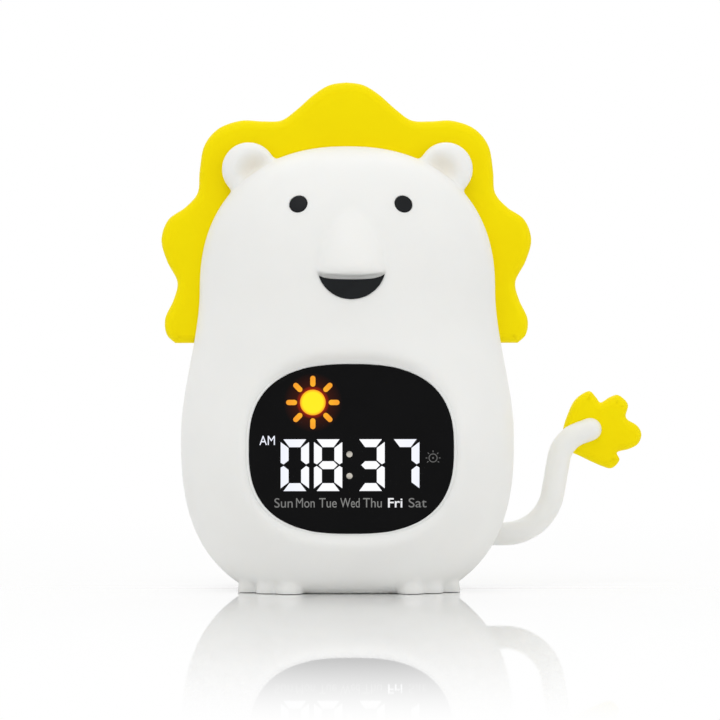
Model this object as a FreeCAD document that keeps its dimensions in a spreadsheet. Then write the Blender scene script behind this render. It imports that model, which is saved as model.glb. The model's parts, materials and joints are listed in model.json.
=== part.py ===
import FreeCAD, Part
import math
import os
import Sketcher
from FreeCAD import Vector

# Animal-shaped clock and night light. Origin at the middle of the base, +Z up, front towards -Y.

doc = FreeCAD.newDocument("animal_clock_light")

# The driving sizes, in millimetres. Each is written once.

SIZES = [
    ("body_width", 105.0),
    ("body_depth", 89.0),
    ("body_height", 139.8),
    ("head_width", 93.0),
    ("head_depth", 78.0),
    ("belly_level", 48.0),
    ("head_level", 95.0),
    ("base_sink", 5.5),
    ("skin_wall", 2.8),
    ("skin_gap", 0.2),
    ("housing_wall", 2.0),
    ("fit_gap", 0.15),
    ("front_seat", 37.2),
    ("rear_seat", 38.5),
    ("lens_width", 64.2),
    ("lens_height", 53.4),
    ("lens_level", 45.7),
    ("lens_thick", 3.0),
    ("lens_round", 0.8),
    ("tape_thick", 0.4),
    ("tape_width", 3.0),
    ("window_ledge", 4.0),
    ("reflector_deep", 6.6),
    ("diffuser_thick", 0.3),
    ("board_thick", 1.6),
    ("display_board_width", 63.0),
    ("display_board_height", 49.0),
    ("display_screw_x", 27.6),
    ("display_screw_z", 20.8),
    ("panel_width", 60.0),
    ("panel_height", 50.0),
    ("panel_level", 46.5),
    ("panel_thick", 3.2),
    ("panel_screw_x", 27.7),
    ("main_board_width", 56.0),
    ("main_board_height", 44.0),
    ("main_board_back", 30.0),
    ("main_screw_x", 24.5),
    ("main_screw_z", 18.5),
    ("chip_tall", 1.4),
    ("button_level", 12.8),
    ("button_pitch", 9.4),
    ("button_size", 6.0),
    ("button_flange", 7.6),
    ("button_flange_thick", 1.2),
    ("button_proud", 1.4),
    ("button_travel", 0.5),
    ("button_gap", 0.2),
    ("switch_size", 6.0),
    ("switch_tall", 3.5),
    ("plunger_size", 3.2),
    ("plunger_proud", 0.9),
    ("speaker_size", 23.0),
    ("speaker_level", 6.5),
    ("speaker_tall", 4.6),
    ("magnet_size", 14.0),
    ("magnet_tall", 4.4),
    ("gasket_thick", 0.6),
    ("grille_hole", 1.6),
    ("grille_pitch", 3.2),
    ("side_part_x", 18.5),
    ("side_part_level", 10.5),
    ("slide_travel", 3.0),
    ("knob_width", 3.0),
    ("knob_height", 2.6),
    ("knob_proud", 1.0),
    ("usb_width", 9.0),
    ("usb_height", 3.2),
    ("usb_deep", 6.6),
    ("usb_wall", 0.3),
    ("lamp_shelf_level", 80.0),
    ("lamp_shelf_thick", 2.0),
    ("lamp_board_size", 48.0),
    ("lamp_centre", 4.0),
    ("lamp_count", 12),
    ("lamp_ring", 17.0),
    ("lamp_screw_ring", 21.5),
    ("led_size", 3.0),
    ("led_tall", 1.2),
    ("boss_size", 4.6),
    ("case_boss_size", 7.0),
    ("case_boss_reach", 30.0),
    ("case_upper_x", 35.5),
    ("case_upper_level", 88.0),
    ("case_lower_x", 39.0),
    ("case_lower_level", 33.0),
    ("screw_size", 2.0),
    ("screw_head", 3.8),
    ("screw_head_tall", 1.2),
    ("screw_length", 8.0),
    ("short_screw_length", 6.0),
    ("case_screw_seat", 5.5),
    ("base_width", 48.0),
    ("base_depth", 38.0),
    ("base_recess", 0.6),
    ("base_screw_x", 6.0),
    ("base_screw_y", 14.5),
    ("base_boss_tall", 4.0),
    ("foot_size", 7.0),
    ("foot_tall", 1.6),
    ("foot_x", 16.5),
    ("foot_y", 9.5),
    ("tray_wall", 1.2),
    ("tray_tall", 6.0),
    ("battery_length", 40.0),
    ("battery_width", 30.0),
    ("battery_thick", 8.0),
    ("pad_thick", 0.5),
    ("wire_size", 1.2),
    ("wire_pitch", 2.4),
    ("ribbon_width", 12.0),
    ("ribbon_thick", 0.4),
    ("ribbon_level", 17.0),
    ("mane_width", 117.2),
    ("mane_top", 160.0),
    ("mane_foot", 78.6),
    ("mane_front", 4.5),
    ("mane_thick", 9.0),
    ("mane_round", 2.6),
    ("mane_seat", 1.3),
    ("ear_size", 17.0),
    ("ear_thick", 9.0),
    ("ear_x", 31.1),
    ("ear_level", 132.6),
    ("ear_front", 5.2),
    ("ear_hollow", 11.0),
    ("ear_hollow_deep", 2.6),
    ("eye_size", 5.6),
    ("eye_x", 16.4),
    ("eye_level", 121.9),
    ("inlay_deep", 1.4),
    ("inlay_proud", 0.2),
    ("mouth_width", 21.1),
    ("mouth_level", 100.8),
    ("mouth_sag", 1.1),
    ("mouth_deep", 8.6),
    ("snout_width", 20.4),
    ("snout_top", 120.0),
    ("snout_foot", 101.3),
    ("snout_proud", 6.2),
    ("tail_size", 7.4),
    ("tail_level", 16.5),
    ("tail_back", 20.0),
    ("tail_start", 27.0),
    ("tail_bend_x", 50.0),
    ("tail_bend", 15.5),
    ("tail_rise", 12.4),
    ("tail_hook", 10.5),
    ("tail_end_run", 3.4),
    ("clip_size", 9.6),
    ("clip_thick", 1.8),
    ("clip_inset", 0.2),
    ("tuft_thick", 7.5),
    ("tuft_size", 25.0),
    ("tuft_round", 2.0),
    ("toe_size", 7.2),
]

BODY_SQUARENESS = 2.5
HEAD_ROUNDNESS = 2.25
FACE_ROUNDNESS = 2.8
BASE_ROUNDNESS = 2.6
LENS_SQUARENESS = 2.6

sheet = doc.addObject("Spreadsheet::Sheet", "Sizes")
for row, (alias, number) in enumerate(SIZES, start=1):
    sheet.set("A%d" % row, alias)
    sheet.set("B%d" % row, str(number))
    sheet.setAlias("B%d" % row, alias)
doc.recompute()


def size(alias):
    """A driving size, read from the sheet."""
    return float(getattr(sheet, alias))


FRONT = FreeCAD.Rotation(Vector(1, 0, 0), 90)
UP = FreeCAD.Rotation()


# Helpers that draw sketches and raise solids from them.


def new_body(name, rotation, x="0", y="0", z="0"):
    """A body whose own XY plane faces the front or lies level, placed by the sheet."""
    body = doc.addObject("PartDesign::Body", name)
    body.Label = name
    body.Placement = FreeCAD.Placement(Vector(), rotation)
    body.setExpression("Placement.Base.x", x)
    body.setExpression("Placement.Base.y", y)
    body.setExpression("Placement.Base.z", z)
    return body


def new_sketch(body, offset=None):
    """A sketch on the body's XY plane, lifted along its normal by an expression."""
    sketch = body.newObject("Sketcher::SketchObject", body.Name + "_outline")
    plane = [feature for feature in body.Origin.OriginFeatures if feature.Role == "XY_Plane"][0]
    sketch.AttachmentSupport = (plane, [""])
    sketch.MapMode = "FlatFace"
    if offset:
        sketch.setExpression("AttachmentOffset.Base.z", offset)
    return sketch


def tie(sketch, kind, points, value):
    """Add a constraint: a string is an expression of the sheet, a number stays as it is."""
    bound = isinstance(value, str)
    index = sketch.addConstraint(Sketcher.Constraint(kind, *points, 1.0 if bound else value))
    if bound:
        sketch.setExpression("Constraints[%d]" % index, value)


def draw_circle(sketch, diameter, x="0", y="0"):
    """A circle whose diameter and centre follow the sheet."""
    circle = sketch.addGeometry(Part.Circle(Vector(1, 1, 0), Vector(0, 0, 1), 1), False)
    tie(sketch, "Diameter", (circle,), diameter)
    tie(sketch, "DistanceX", (-1, 1, circle, 3), x)
    tie(sketch, "DistanceY", (-1, 1, circle, 3), y)


def draw_rectangle(sketch, width, height, x="0", y="0"):
    """An upright rectangle about a centre, with its size and centre tied to the sheet."""
    corners = [Vector(0, 0, 0), Vector(1, 0, 0), Vector(1, 1, 0), Vector(0, 1, 0)]
    first = draw_polygon(sketch, corners)
    for side in (0, 2):
        sketch.addConstraint(Sketcher.Constraint("Horizontal", first + side))
    for side in (1, 3):
        sketch.addConstraint(Sketcher.Constraint("Vertical", first + side))
    tie(sketch, "DistanceX", (first, 1, first, 2), width)
    tie(sketch, "DistanceY", (first + 1, 1, first + 1, 2), height)
    tie(sketch, "DistanceX", (-1, 1, first, 1), "%s - (%s) / 2" % (x, width))
    tie(sketch, "DistanceY", (-1, 1, first, 1), "%s - (%s) / 2" % (y, height))


def draw_polygon(sketch, corners):
    """A closed run of lines through the corners; gives the index of its first line."""
    first = None
    count = len(corners)
    for index in range(count):
        line = Part.LineSegment(corners[index], corners[(index + 1) % count])
        geometry = sketch.addGeometry(line, False)
        if first is None:
            first = geometry
    for index in range(count):
        after = (index + 1) % count
        sketch.addConstraint(Sketcher.Constraint("Coincident", first + index, 2, first + after, 1))
    return first


def draw_cross(sketch, span, slot, x, y):
    """The plus-shaped recess of a screw."""
    long, short = span / 2, slot / 2
    quarter = [(long, -short), (long, short), (short, short)]
    corners = []
    for turn in range(4):
        for u, v in quarter:
            for _ in range(turn):
                u, v = -v, u
            corners.append(Vector(x + u, y + v, 0))
    draw_polygon(sketch, corners)


def draw_squircle(sketch, width, height):
    """A rounded outline shared by the lens, the panels and their windows."""
    curve = squircle_curve(width / 2, height / 2, LENS_SQUARENESS, lambda u, v: Vector(u, v, 0))
    sketch.addGeometry(curve, False)


def pad(body, sketch, length, back=False):
    """Raise a sketch; back points it away from the sketch's normal."""
    feature = body.newObject("PartDesign::Pad", body.Name + "_pad")
    feature.Profile = sketch
    feature.setExpression("Length", length)
    feature.Reversed = back
    sketch.Visibility = False
    return feature


def pocket(body, sketch, length, back=False):
    """Cut a sketch into the body; back cuts along the sketch's normal."""
    feature = body.newObject("PartDesign::Pocket", body.Name + "_cut")
    feature.Profile = sketch
    feature.setExpression("Length", length)
    feature.Reversed = back
    return feature


def solid_feature(name, shape):
    """A sub-part whose form is worked out in code."""
    feature = doc.addObject("Part::Feature", name)
    feature.Label = name
    feature.Shape = shape
    feature.Placement = FreeCAD.Placement()
    return feature


# The body's form: a stack of rounded outlines, wide at the belly and domed at the head.


def power_arc(share, power):
    """One quarter of a rounded-square curve, 1 at the middle and 0 at the end."""
    return (1 - min(abs(share), 1) ** power) ** (1 / power)


def half_extent(level, inset, belly, head, dome_power):
    """Half the body's width or depth at a level, inset from its surface."""
    head_level = size("head_level")
    belly_level = size("belly_level")
    if level >= head_level:
        share = (level - head_level) / (size("body_height") - inset - head_level)
        return (head / 2 - inset) * power_arc(share, dome_power)
    if level >= belly_level:
        share = (head_level - level) / (head_level - belly_level)
        blend = share * share * (3 - 2 * share)
        return head / 2 - inset + (belly - head) / 2 * blend
    share = (belly_level - level) / (belly_level + size("base_sink") - inset)
    return (belly / 2 - inset) * power_arc(share, BASE_ROUNDNESS)


def half_width(level, inset=0.0):
    return half_extent(level, inset, size("body_width"), size("head_width"), HEAD_ROUNDNESS)


def half_depth(level, inset=0.0):
    return half_extent(level, inset, size("body_depth"), size("head_depth"), FACE_ROUNDNESS)


def surface_y(x, level, inset=0.0):
    """How far the body's surface stands from its middle plane at x and level."""
    share = x / half_width(level, inset)
    return half_depth(level, inset) * power_arc(share, BODY_SQUARENESS)


def squircle_curve(half_u, half_v, power, place, count=24):
    """A closed smooth curve through points on a rounded rectangle."""
    points = []
    for index in range(count):
        turn = 2 * math.pi * index / count
        u = half_u * math.copysign(abs(math.cos(turn)) ** (2 / power), math.cos(turn))
        v = half_v * math.copysign(abs(math.sin(turn)) ** (2 / power), math.sin(turn))
        points.append(place(u, v))
    curve = Part.BSplineCurve()
    curve.interpolate(Points=points, PeriodicFlag=True)
    return curve


def squircle_wire(half_u, half_v, power, place):
    return Part.Wire(squircle_curve(half_u, half_v, power, place).toShape())


def body_form(inset, floor=0.0):
    """The body as a solid, inset from its outer surface and cut flat at a floor."""
    belly_level = size("belly_level")
    head_level = size("head_level")
    drop = belly_level + size("base_sink") - inset
    rise = size("body_height") - inset - head_level
    foot_turn = math.asin(((belly_level - floor) / drop) ** (BASE_ROUNDNESS / 2))
    levels = [floor]
    for step in range(5, 0, -1):
        levels.append(belly_level - drop * math.sin(foot_turn * step / 6) ** (2 / BASE_ROUNDNESS))
    for step in range(4):
        levels.append(belly_level + (head_level - belly_level) * step / 4)
    top_turn = math.radians(84)
    for step in range(8):
        levels.append(head_level + rise * math.sin(top_turn * step / 7) ** (2 / HEAD_ROUNDNESS))
    wires = []
    for level in levels:
        wide = half_width(level, inset)
        deep = half_depth(level, inset)
        wires.append(squircle_wire(wide, deep, BODY_SQUARENESS, lambda x, y, z=level: Vector(x, y, z)))
    return Part.makeLoft(wires, True, False, False)


DISH_FLARE = [(0.0, 0.4), (1.2, 0.9), (3.0, 2.4), (5.5, 5.4), (8.5, 10.5), (12.5, 20.0)]


def dish_form(width, height, level, seat, side, wall=0.0):
    """The space cut out of the body in front of a window; side is -1 front, 1 rear."""
    wires = []
    for rise, flare in DISH_FLARE:
        y = side * (seat - wall + rise)
        grow = flare + wall
        half_u = width / 2 + grow
        half_v = height / 2 + grow
        place = lambda x, z, y=y: Vector(x, y, z + level)
        wires.append(squircle_wire(half_u, half_v, LENS_SQUARENESS, place))
    return Part.makeLoft(wires, True, False, False)


def prism(wire, length):
    """A wire's face pushed along Y by a length."""
    return Part.Face(wire).extrude(Vector(0, length, 0))


def window_form(width, height, level, y, length):
    """A straight-sided block of the lens's outline, for windows."""
    place = lambda x, z: Vector(x, y, z + level)
    return prism(squircle_wire(width / 2, height / 2, LENS_SQUARENESS, place), length)


def cylinder(diameter, length, base, axis):
    return Part.makeCylinder(diameter / 2, length, base, axis)


LENS = (size("lens_width"), size("lens_height"), size("lens_level"))
PANEL = (size("panel_width"), size("panel_height"), size("panel_level"))


def shell_form(inset, wall):
    """A body form with both dishes taken out, as deep as the inset asks."""
    form = body_form(inset, inset)
    form = form.cut(dish_form(*LENS, size("front_seat"), -1, wall))
    return form.cut(dish_form(*PANEL, size("rear_seat"), 1, wall))


SKIN_INSIDE = size("skin_wall")
HOUSING_OUTSIDE = SKIN_INSIDE + size("skin_gap")
HOUSING_INSIDE = HOUSING_OUTSIDE + size("housing_wall")
FRONT_SEAT = -(size("front_seat") - HOUSING_OUTSIDE)
REAR_SEAT = size("rear_seat") - HOUSING_OUTSIDE
X_AXIS = Vector(1, 0, 0)
Y_AXIS = Vector(0, 1, 0)
Z_AXIS = Vector(0, 0, 1)

skin_inner = shell_form(SKIN_INSIDE, SKIN_INSIDE)
housing_outer = shell_form(HOUSING_OUTSIDE, HOUSING_OUTSIDE)
housing_inner = shell_form(HOUSING_INSIDE, HOUSING_INSIDE)


# The white silicone body.

EAR_LEAN_X = 1.6
EAR_LEAN_Z = 1.2


def ear(side):
    """A round ear with soft edges and a hollow that leans towards the head."""
    front = size("ear_front")
    centre = Vector(side * size("ear_x"), -front, size("ear_level"))
    blank = cylinder(size("ear_size"), size("ear_thick"), centre, Y_AXIS)
    rims = [edge for edge in blank.Edges if edge.Length > size("ear_size")]
    blank = blank.makeFillet(size("ear_thick") * 0.38, rims)
    deep = size("ear_hollow_deep")
    wide = size("ear_hollow") / 2
    ball = (wide * wide + deep * deep) / (2 * deep)
    lean = Vector(-side * EAR_LEAN_X, deep - ball, -EAR_LEAN_Z)
    return blank.cut(Part.makeSphere(ball, centre + lean))


# How far down the muzzle a section lies, and its width and reach as shares of the full ones.
SNOUT_PROFILE = [
    (0.0, 0.16, 0.03),
    (0.25, 0.42, 0.3),
    (0.55, 0.72, 0.7),
    (0.82, 0.95, 0.98),
    (0.95, 1.0, 0.92),
    (1.0, 0.9, 0.6),
]


def snout():
    """The muzzle: half-round sections that widen and stand out towards the mouth."""
    top = size("snout_top")
    foot = size("snout_foot")
    wires = []
    for share, wide, proud in SNOUT_PROFILE:
        level = top - (top - foot) * share
        depth = surface_y(0, level)
        half_u = size("snout_width") / 2 * wide
        reach = size("snout_proud") * proud
        centre = depth - SKIN_INSIDE / 2
        half_v = reach + SKIN_INSIDE / 2
        place = lambda x, y, z=level, c=centre: Vector(x, y - c, z)
        wires.append(squircle_wire(half_u, half_v, 2.0, place))
    return Part.makeLoft(wires, True, False, False)


# Each toe's place as a share of the half width, and its size as a share of the largest.
TOE_PLACES = ((0.355, 1.0), (0.49, 0.84), (0.61, 0.74))


def toes():
    """Three rounded toes on each side, set round the front of the base."""
    found = []
    for side in (-1, 1):
        for share, scale in TOE_PLACES:
            radius = size("toe_size") / 2 * scale
            x = side * share * size("body_width") / 2
            y = -surface_y(x, radius) + radius * 0.35
            found.append(Part.makeSphere(radius, Vector(x, y, radius * 0.72)))
    return found


MANE_EDGE = [
    (0.0, 160.0),
    (7.0, 158.6),
    (13.4, 153.6),
    (20.6, 147.9),
    (27.5, 148.4),
    (38.5, 147.0),
    (45.2, 139.5),
    (46.6, 128.5),
    (48.6, 121.5),
    (55.4, 117.0),
    (58.5, 110.3),
    (55.8, 102.6),
    (53.2, 95.8),
    (56.2, 90.4),
    (57.0, 84.4),
    (54.2, 79.6),
]

# The width, the top and the body's crown that the edge above was drawn at.
DRAWN_WIDTH = 117.2
DRAWN_TOP = 160.0
DRAWN_CROWN = 139.8


def mane_outline():
    """The scalloped edge as one smooth curve, closed below inside the body."""
    stretch_x = size("mane_width") / DRAWN_WIDTH
    crown = size("body_height")
    stretch_z = (size("mane_top") - crown) / (DRAWN_TOP - DRAWN_CROWN)
    points = []
    for x, z in MANE_EDGE:
        if z > DRAWN_CROWN:
            z = crown + (z - DRAWN_CROWN) * stretch_z
        points.append(Vector(x * stretch_x, 0, z))
    left = [Vector(-p.x, 0, p.z) for p in points[:0:-1]]
    curve = Part.BSplineCurve()
    curve.interpolate(Points=left + points)
    inner_x = half_width(size("mane_foot")) - 12
    foot = size("mane_foot")
    start = curve.StartPoint
    end = curve.EndPoint
    low_left = Vector(-inner_x, 0, foot)
    low_right = Vector(inner_x, 0, foot)
    edges = [
        curve.toShape(),
        Part.makeLine(end, low_right),
        Part.makeLine(low_right, low_left),
        Part.makeLine(low_left, start),
    ]
    return Part.Wire(edges)


def mane_form():
    wire = mane_outline()
    wire.translate(Vector(0, size("mane_front"), 0))
    blank = prism(wire, size("mane_thick"))
    rims = []
    for edge in blank.Edges:
        flat = abs(edge.BoundBox.YLength) < 0.01
        if flat and edge.Length > size("mane_width"):
            rims.append(edge)
    rims = [edge for edge in rims if edge.BoundBox.ZMax > size("body_height")]
    return blank.makeFillet(size("mane_round"), rims)


def tail_path():
    """The tail's middle line, level at the body and hooked at its end."""
    y = size("tail_back")
    level = size("tail_level")
    start = Vector(size("tail_start"), y, level)
    bend = Vector(size("tail_bend_x"), y, level)
    radius = size("tail_bend")
    lean = math.radians(80)
    middle = Vector(bend.x + radius * math.sin(lean / 2), y, level + radius * (1 - math.cos(lean / 2)))
    up = Vector(bend.x + radius * math.sin(lean), y, level + radius * (1 - math.cos(lean)))
    along = Vector(math.cos(lean), 0, math.sin(lean))
    hook = up + along * size("tail_rise")
    curl = size("tail_hook")
    centre = hook + Vector(math.sin(lean), 0, -math.cos(lean)) * curl
    turn_mid = math.radians(50)
    turn_end = math.radians(20)
    hook_mid = centre + Vector(-math.sin(turn_mid), 0, math.cos(turn_mid)) * curl
    hook_end = centre + Vector(-math.sin(turn_end), 0, math.cos(turn_end)) * curl
    tip = hook_end + Vector(math.cos(turn_end), 0, math.sin(turn_end)) * size("tail_end_run")
    edges = [
        Part.makeLine(start, bend),
        Part.Arc(bend, middle, up).toShape(),
        Part.makeLine(up, hook),
        Part.Arc(hook, hook_mid, hook_end).toShape(),
        Part.makeLine(hook_end, tip),
    ]
    return Part.Wire(edges), start, tip


def tail_form(diameter):
    path, start, tip = tail_path()
    profile = Part.Wire(Part.makeCircle(diameter / 2, start, X_AXIS))
    tube = path.makePipeShell([profile], True, False)
    return tube.fuse(Part.makeSphere(diameter / 2, tip))


TAIL_ROOT = Vector(size("tail_start"), size("tail_back"), size("tail_level"))
tail_hole = cylinder(size("tail_size") + 2 * size("fit_gap"), 40, TAIL_ROOT, X_AXIS)


def eye_place(side):
    """An eye's place on the face, and the way it looks out."""
    x = side * size("eye_x")
    z = size("eye_level")
    step = 1.0
    slope_x = (surface_y(x + step, z) - surface_y(x - step, z)) / (2 * step)
    slope_z = (surface_y(x, z + step) - surface_y(x, z - step)) / (2 * step)
    outward = Vector(-slope_x, -1, -slope_z).normalize()
    return Vector(x, -surface_y(x, z), z), outward


def mouth_wire(grow, y):
    half_u = size("mouth_width") / 2 + grow
    top = size("mouth_level") + grow
    sag = size("mouth_level") - size("mouth_sag") + grow
    low = size("mouth_level") - size("mouth_deep") - grow
    left = Vector(-half_u, y, top)
    right = Vector(half_u, y, top)
    upper = Part.Arc(left, Vector(0, y, sag), right).toShape()
    lower = Part.Arc(left, Vector(0, y, low), right).toShape()
    return Part.Wire([upper, lower])


MOUTH_FACE = -(surface_y(0, size("mouth_level") - size("mouth_deep") / 2) + size("inlay_proud"))
MOUTH_BACK = MOUTH_FACE + size("inlay_proud") + size("inlay_deep")

FIT = size("fit_gap")
SKIN_WINDOWS = (
    (size("lens_width"), size("lens_height"), size("lens_level"), -60),
    (size("panel_width"), size("panel_height"), size("panel_level"), 20),
)


def mane_groove():
    """The slot round the head that the mane's inner edge sits in."""
    deep = size("mane_thick") + 2 * FIT
    corner = Vector(-100, size("mane_front") - FIT, size("mane_foot") - FIT)
    return Part.makeBox(200, deep, 120, corner).cut(body_form(size("mane_seat") + FIT))


def skin_cuts():
    """Everything that is taken out of the silicone body."""
    cuts = [mane_groove(), skin_inner, tail_hole]
    for wide, tall, level, y in SKIN_WINDOWS:
        cuts.append(window_form(wide + 2 * FIT, tall + 2 * FIT, level, y, 40))
    place = lambda x, y: Vector(x, y, -1)
    base_hole = squircle_wire(size("base_width") / 2, size("base_depth") / 2, BODY_SQUARENESS, place)
    cuts.append(Part.Face(base_hole).extrude(Vector(0, 0, HOUSING_OUTSIDE + 2)))
    cuts.append(Part.makeBox(300, 300, 20, Vector(-150, -150, -20)))
    cuts.append(prism(mouth_wire(FIT, MOUTH_BACK), -20))
    for side in (-1, 1):
        spot, outward = eye_place(side)
        base = spot - outward * size("inlay_deep")
        cuts.append(cylinder(size("eye_size") + 2 * FIT, 20, base, outward))
    return cuts


def skin_form():
    """The white body with its dishes, snout, ears and toes, hollowed and opened."""
    skin = body_form(0.0).cut([
        dish_form(*LENS, size("front_seat"), -1),
        dish_form(*PANEL, size("rear_seat"), 1),
    ])
    skin = skin.fuse([snout(), ear(-1), ear(1)] + toes())
    return skin.cut(skin_cuts())


solid_feature("body_skin", skin_form())

seat = body_form(size("mane_seat"))
solid_feature("mane", mane_form().cut(seat))

for side, name in ((-1, "eye_left"), (1, "eye_right")):
    place, outward = eye_place(side)
    thick = size("inlay_deep") + size("inlay_proud")
    disc = cylinder(size("eye_size"), thick, place - outward * size("inlay_deep"), outward)
    solid_feature(name, disc)
solid_feature("mouth_insert", prism(mouth_wire(0, MOUTH_FACE), MOUTH_BACK - MOUTH_FACE))

solid_feature("tail_stem", tail_form(size("tail_size")))

TUFT_EDGE = [
    (-9.2, 2.2),
    (-6.6, 8.3),
    (-0.8, 12.2),
    (3.3, 9.6),
    (9.2, 11.2),
    (13.5, 6.4),
    (12.0, 2.8),
    (17.0, -1.2),
    (12.6, -5.4),
    (9.8, -9.8),
    (5.4, -10.6),
    (-1.0, -7.8),
    (-8.0, -6.6),
]

TUFT_DRAWN = 25.0
TUFT_MIDDLE = 4.0
# Each layer's share of the thickness, and how much of the rounding it is drawn in by.
TUFT_LAYERS = ((0, 1), (0.1, 0.35), (0.28, 0), (0.72, 0), (0.9, 0.35), (1, 1))


def tuft_form():
    """A flat leaf with soft lobes behind the end of the tail."""
    _, _, tip = tail_path()
    stretch = size("tuft_size") / TUFT_DRAWN
    front = size("tail_back") - size("tail_size") * 0.1
    thick = size("tuft_thick")
    edge = size("tuft_round") / size("tuft_size") * 2
    wires = []
    for share, shrink in TUFT_LAYERS:
        scale = stretch * (1 - shrink * edge)
        y = front + share * thick
        points = []
        for u, v in TUFT_EDGE:
            points.append(Vector(tip.x + TUFT_MIDDLE + (u - TUFT_MIDDLE) * scale, y, tip.z + v * scale))
        curve = Part.BSplineCurve()
        curve.interpolate(Points=points, PeriodicFlag=True)
        wires.append(Part.Wire(curve.toShape()))
    blank = Part.makeLoft(wires, True, False, False)
    return blank.cut(tail_form(size("tail_size") + 2 * size("fit_gap")))


solid_feature("tail_tuft", tuft_form())

# The rigid housing in two halves, with its bosses, shelf and openings.

CASE_POINTS = []
for side in (-1, 1):
    CASE_POINTS.append((side * size("case_upper_x"), size("case_upper_level")))
    CASE_POINTS.append((side * size("case_lower_x"), size("case_lower_level")))


def four(x, z):
    """The four corners of a centred rectangle."""
    return [(-x, -z), (x, -z), (x, z), (-x, z)]


def half_of(shape, side):
    """The front or rear half of a shape."""
    box = Part.makeBox(300, 150, 300, Vector(-150, -150 if side < 0 else 0, -50))
    return shape.common(box)


def case_bosses(side):
    """Bosses that run from the wall to the split between the halves."""
    found = []
    reach = size("case_boss_reach")
    for x, z in CASE_POINTS:
        base = Vector(x, -reach if side < 0 else 0, z)
        found.append(cylinder(size("case_boss_size"), reach, base, Y_AXIS))
    return found


def base_bosses():
    found = []
    for x, y in four(size("base_screw_x"), size("base_screw_y")):
        base = Vector(x, y, HOUSING_OUTSIDE)
        tall = size("housing_wall") + size("base_boss_tall")
        found.append(cylinder(size("boss_size"), tall, base, Z_AXIS))
    return found


DISPLAY_STACK = size("diffuser_thick") + size("reflector_deep") + 2 * FIT
DISPLAY_BOARD_Y = FRONT_SEAT - size("tape_thick") + DISPLAY_STACK
DISPLAY_OFFSETS = four(size("display_screw_x"), size("display_screw_z"))
DISPLAY_POINTS = [(x, z + size("lens_level")) for x, z in DISPLAY_OFFSETS]
MAIN_OFFSETS = four(size("main_screw_x"), size("main_screw_z"))
MAIN_POINTS = [(x, z + size("panel_level")) for x, z in MAIN_OFFSETS]
TRAY_FLOOR = HOUSING_INSIDE + size("base_boss_tall")
LAMP_TOP = size("lamp_shelf_level") + size("lamp_shelf_thick")
LAMP_POINTS = []
for turn in (90, 210, 330):
    angle = math.radians(turn)
    ring = size("lamp_screw_ring")
    LAMP_POINTS.append((ring * math.cos(angle), size("lamp_centre") + ring * math.sin(angle)))

PILOT = size("screw_size") * 0.8
LAMP_WIRE_X = 14.0
LAMP_WIRE_Y = 20.0


def front_additions():
    """Bosses inside the front half: display, case and base."""
    length = DISPLAY_BOARD_Y - FRONT_SEAT
    found = []
    for x, z in DISPLAY_POINTS:
        found.append(cylinder(size("boss_size"), length, Vector(x, FRONT_SEAT, z), Y_AXIS))
    outer = half_of(housing_outer, -1)
    found += [boss.common(outer) for boss in case_bosses(-1)]
    found += [boss for boss in base_bosses() if boss.BoundBox.YMax < 0]
    return found


def rear_additions():
    """Bosses inside the rear half, and the shelf that carries the night light."""
    length = REAR_SEAT - size("main_board_back")
    found = []
    for x, z in MAIN_POINTS:
        found.append(cylinder(size("boss_size"), length, Vector(x, size("main_board_back"), z), Y_AXIS))
    outer = half_of(housing_outer, 1)
    found += [boss.common(outer) for boss in case_bosses(1)]
    found += [boss for boss in base_bosses() if boss.BoundBox.YMin > 0]
    reach = size("lamp_screw_ring") + 2
    corner = Vector(-reach, size("lamp_centre") - size("lamp_screw_ring"), size("lamp_shelf_level"))
    shelf = Part.makeBox(2 * reach, 80, size("lamp_shelf_thick"), corner)
    found.append(shelf.common(body_form(HOUSING_OUTSIDE + size("housing_wall") / 2)))
    return found


def base_pilots(side):
    """Holes for the base screws on one side of the split."""
    length = size("screw_length") + 3
    places = four(size("base_screw_x"), size("base_screw_y"))
    return [cylinder(PILOT, length, Vector(x, y, 0), Z_AXIS) for x, y in places if y * side > 0]


def front_cuts():
    ledge = 2 * size("window_ledge")
    wide, tall, level = LENS
    cuts = [window_form(wide - ledge, tall - ledge, level, -60, 40)]
    deep = size("screw_length")
    for x, z in DISPLAY_POINTS:
        cuts.append(cylinder(PILOT, deep, Vector(x, DISPLAY_BOARD_Y - deep + 3, z), Y_AXIS))
    for x, z in CASE_POINTS:
        cuts.append(cylinder(PILOT, deep, Vector(x, -deep, z), Y_AXIS))
    return cuts + base_pilots(-1)


def rear_cuts():
    ledge = 2 * size("window_ledge")
    wide, tall, level = PANEL
    cuts = [window_form(wide - ledge, tall - ledge, level, size("main_board_back"), 40)]
    deep = size("screw_length")
    for x, z in MAIN_POINTS:
        cuts.append(cylinder(PILOT, deep, Vector(x, size("main_board_back") - 1, z), Y_AXIS))
    head_hole = size("screw_head") + 4 * FIT
    for x, z in CASE_POINTS:
        cuts.append(cylinder(PILOT, deep, Vector(x, -1, z), Y_AXIS))
        cuts.append(cylinder(head_hole, 60, Vector(x, size("case_screw_seat"), z), Y_AXIS))
    for side in (-1, 1):
        base = Vector(side * size("panel_screw_x"), REAR_SEAT - 10, level)
        cuts.append(cylinder(PILOT, 20, base, Y_AXIS))
    under_shelf = size("lamp_shelf_level") - 5
    for x, y in LAMP_POINTS:
        cuts.append(cylinder(PILOT, 20, Vector(x, y, under_shelf), Z_AXIS))
    cuts.append(cylinder(3 * size("wire_pitch"), 20, Vector(LAMP_WIRE_X, LAMP_WIRE_Y, under_shelf), Z_AXIS))
    flange_room = size("button_flange") + 4 * FIT
    for side in (-1, 1):
        base = Vector(side * 2 * size("button_pitch"), REAR_SEAT - 10, level + size("button_level"))
        cuts.append(cylinder(flange_room, 20, base, Y_AXIS))
    cuts.append(tail_hole)
    return cuts + base_pilots(1)


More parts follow.
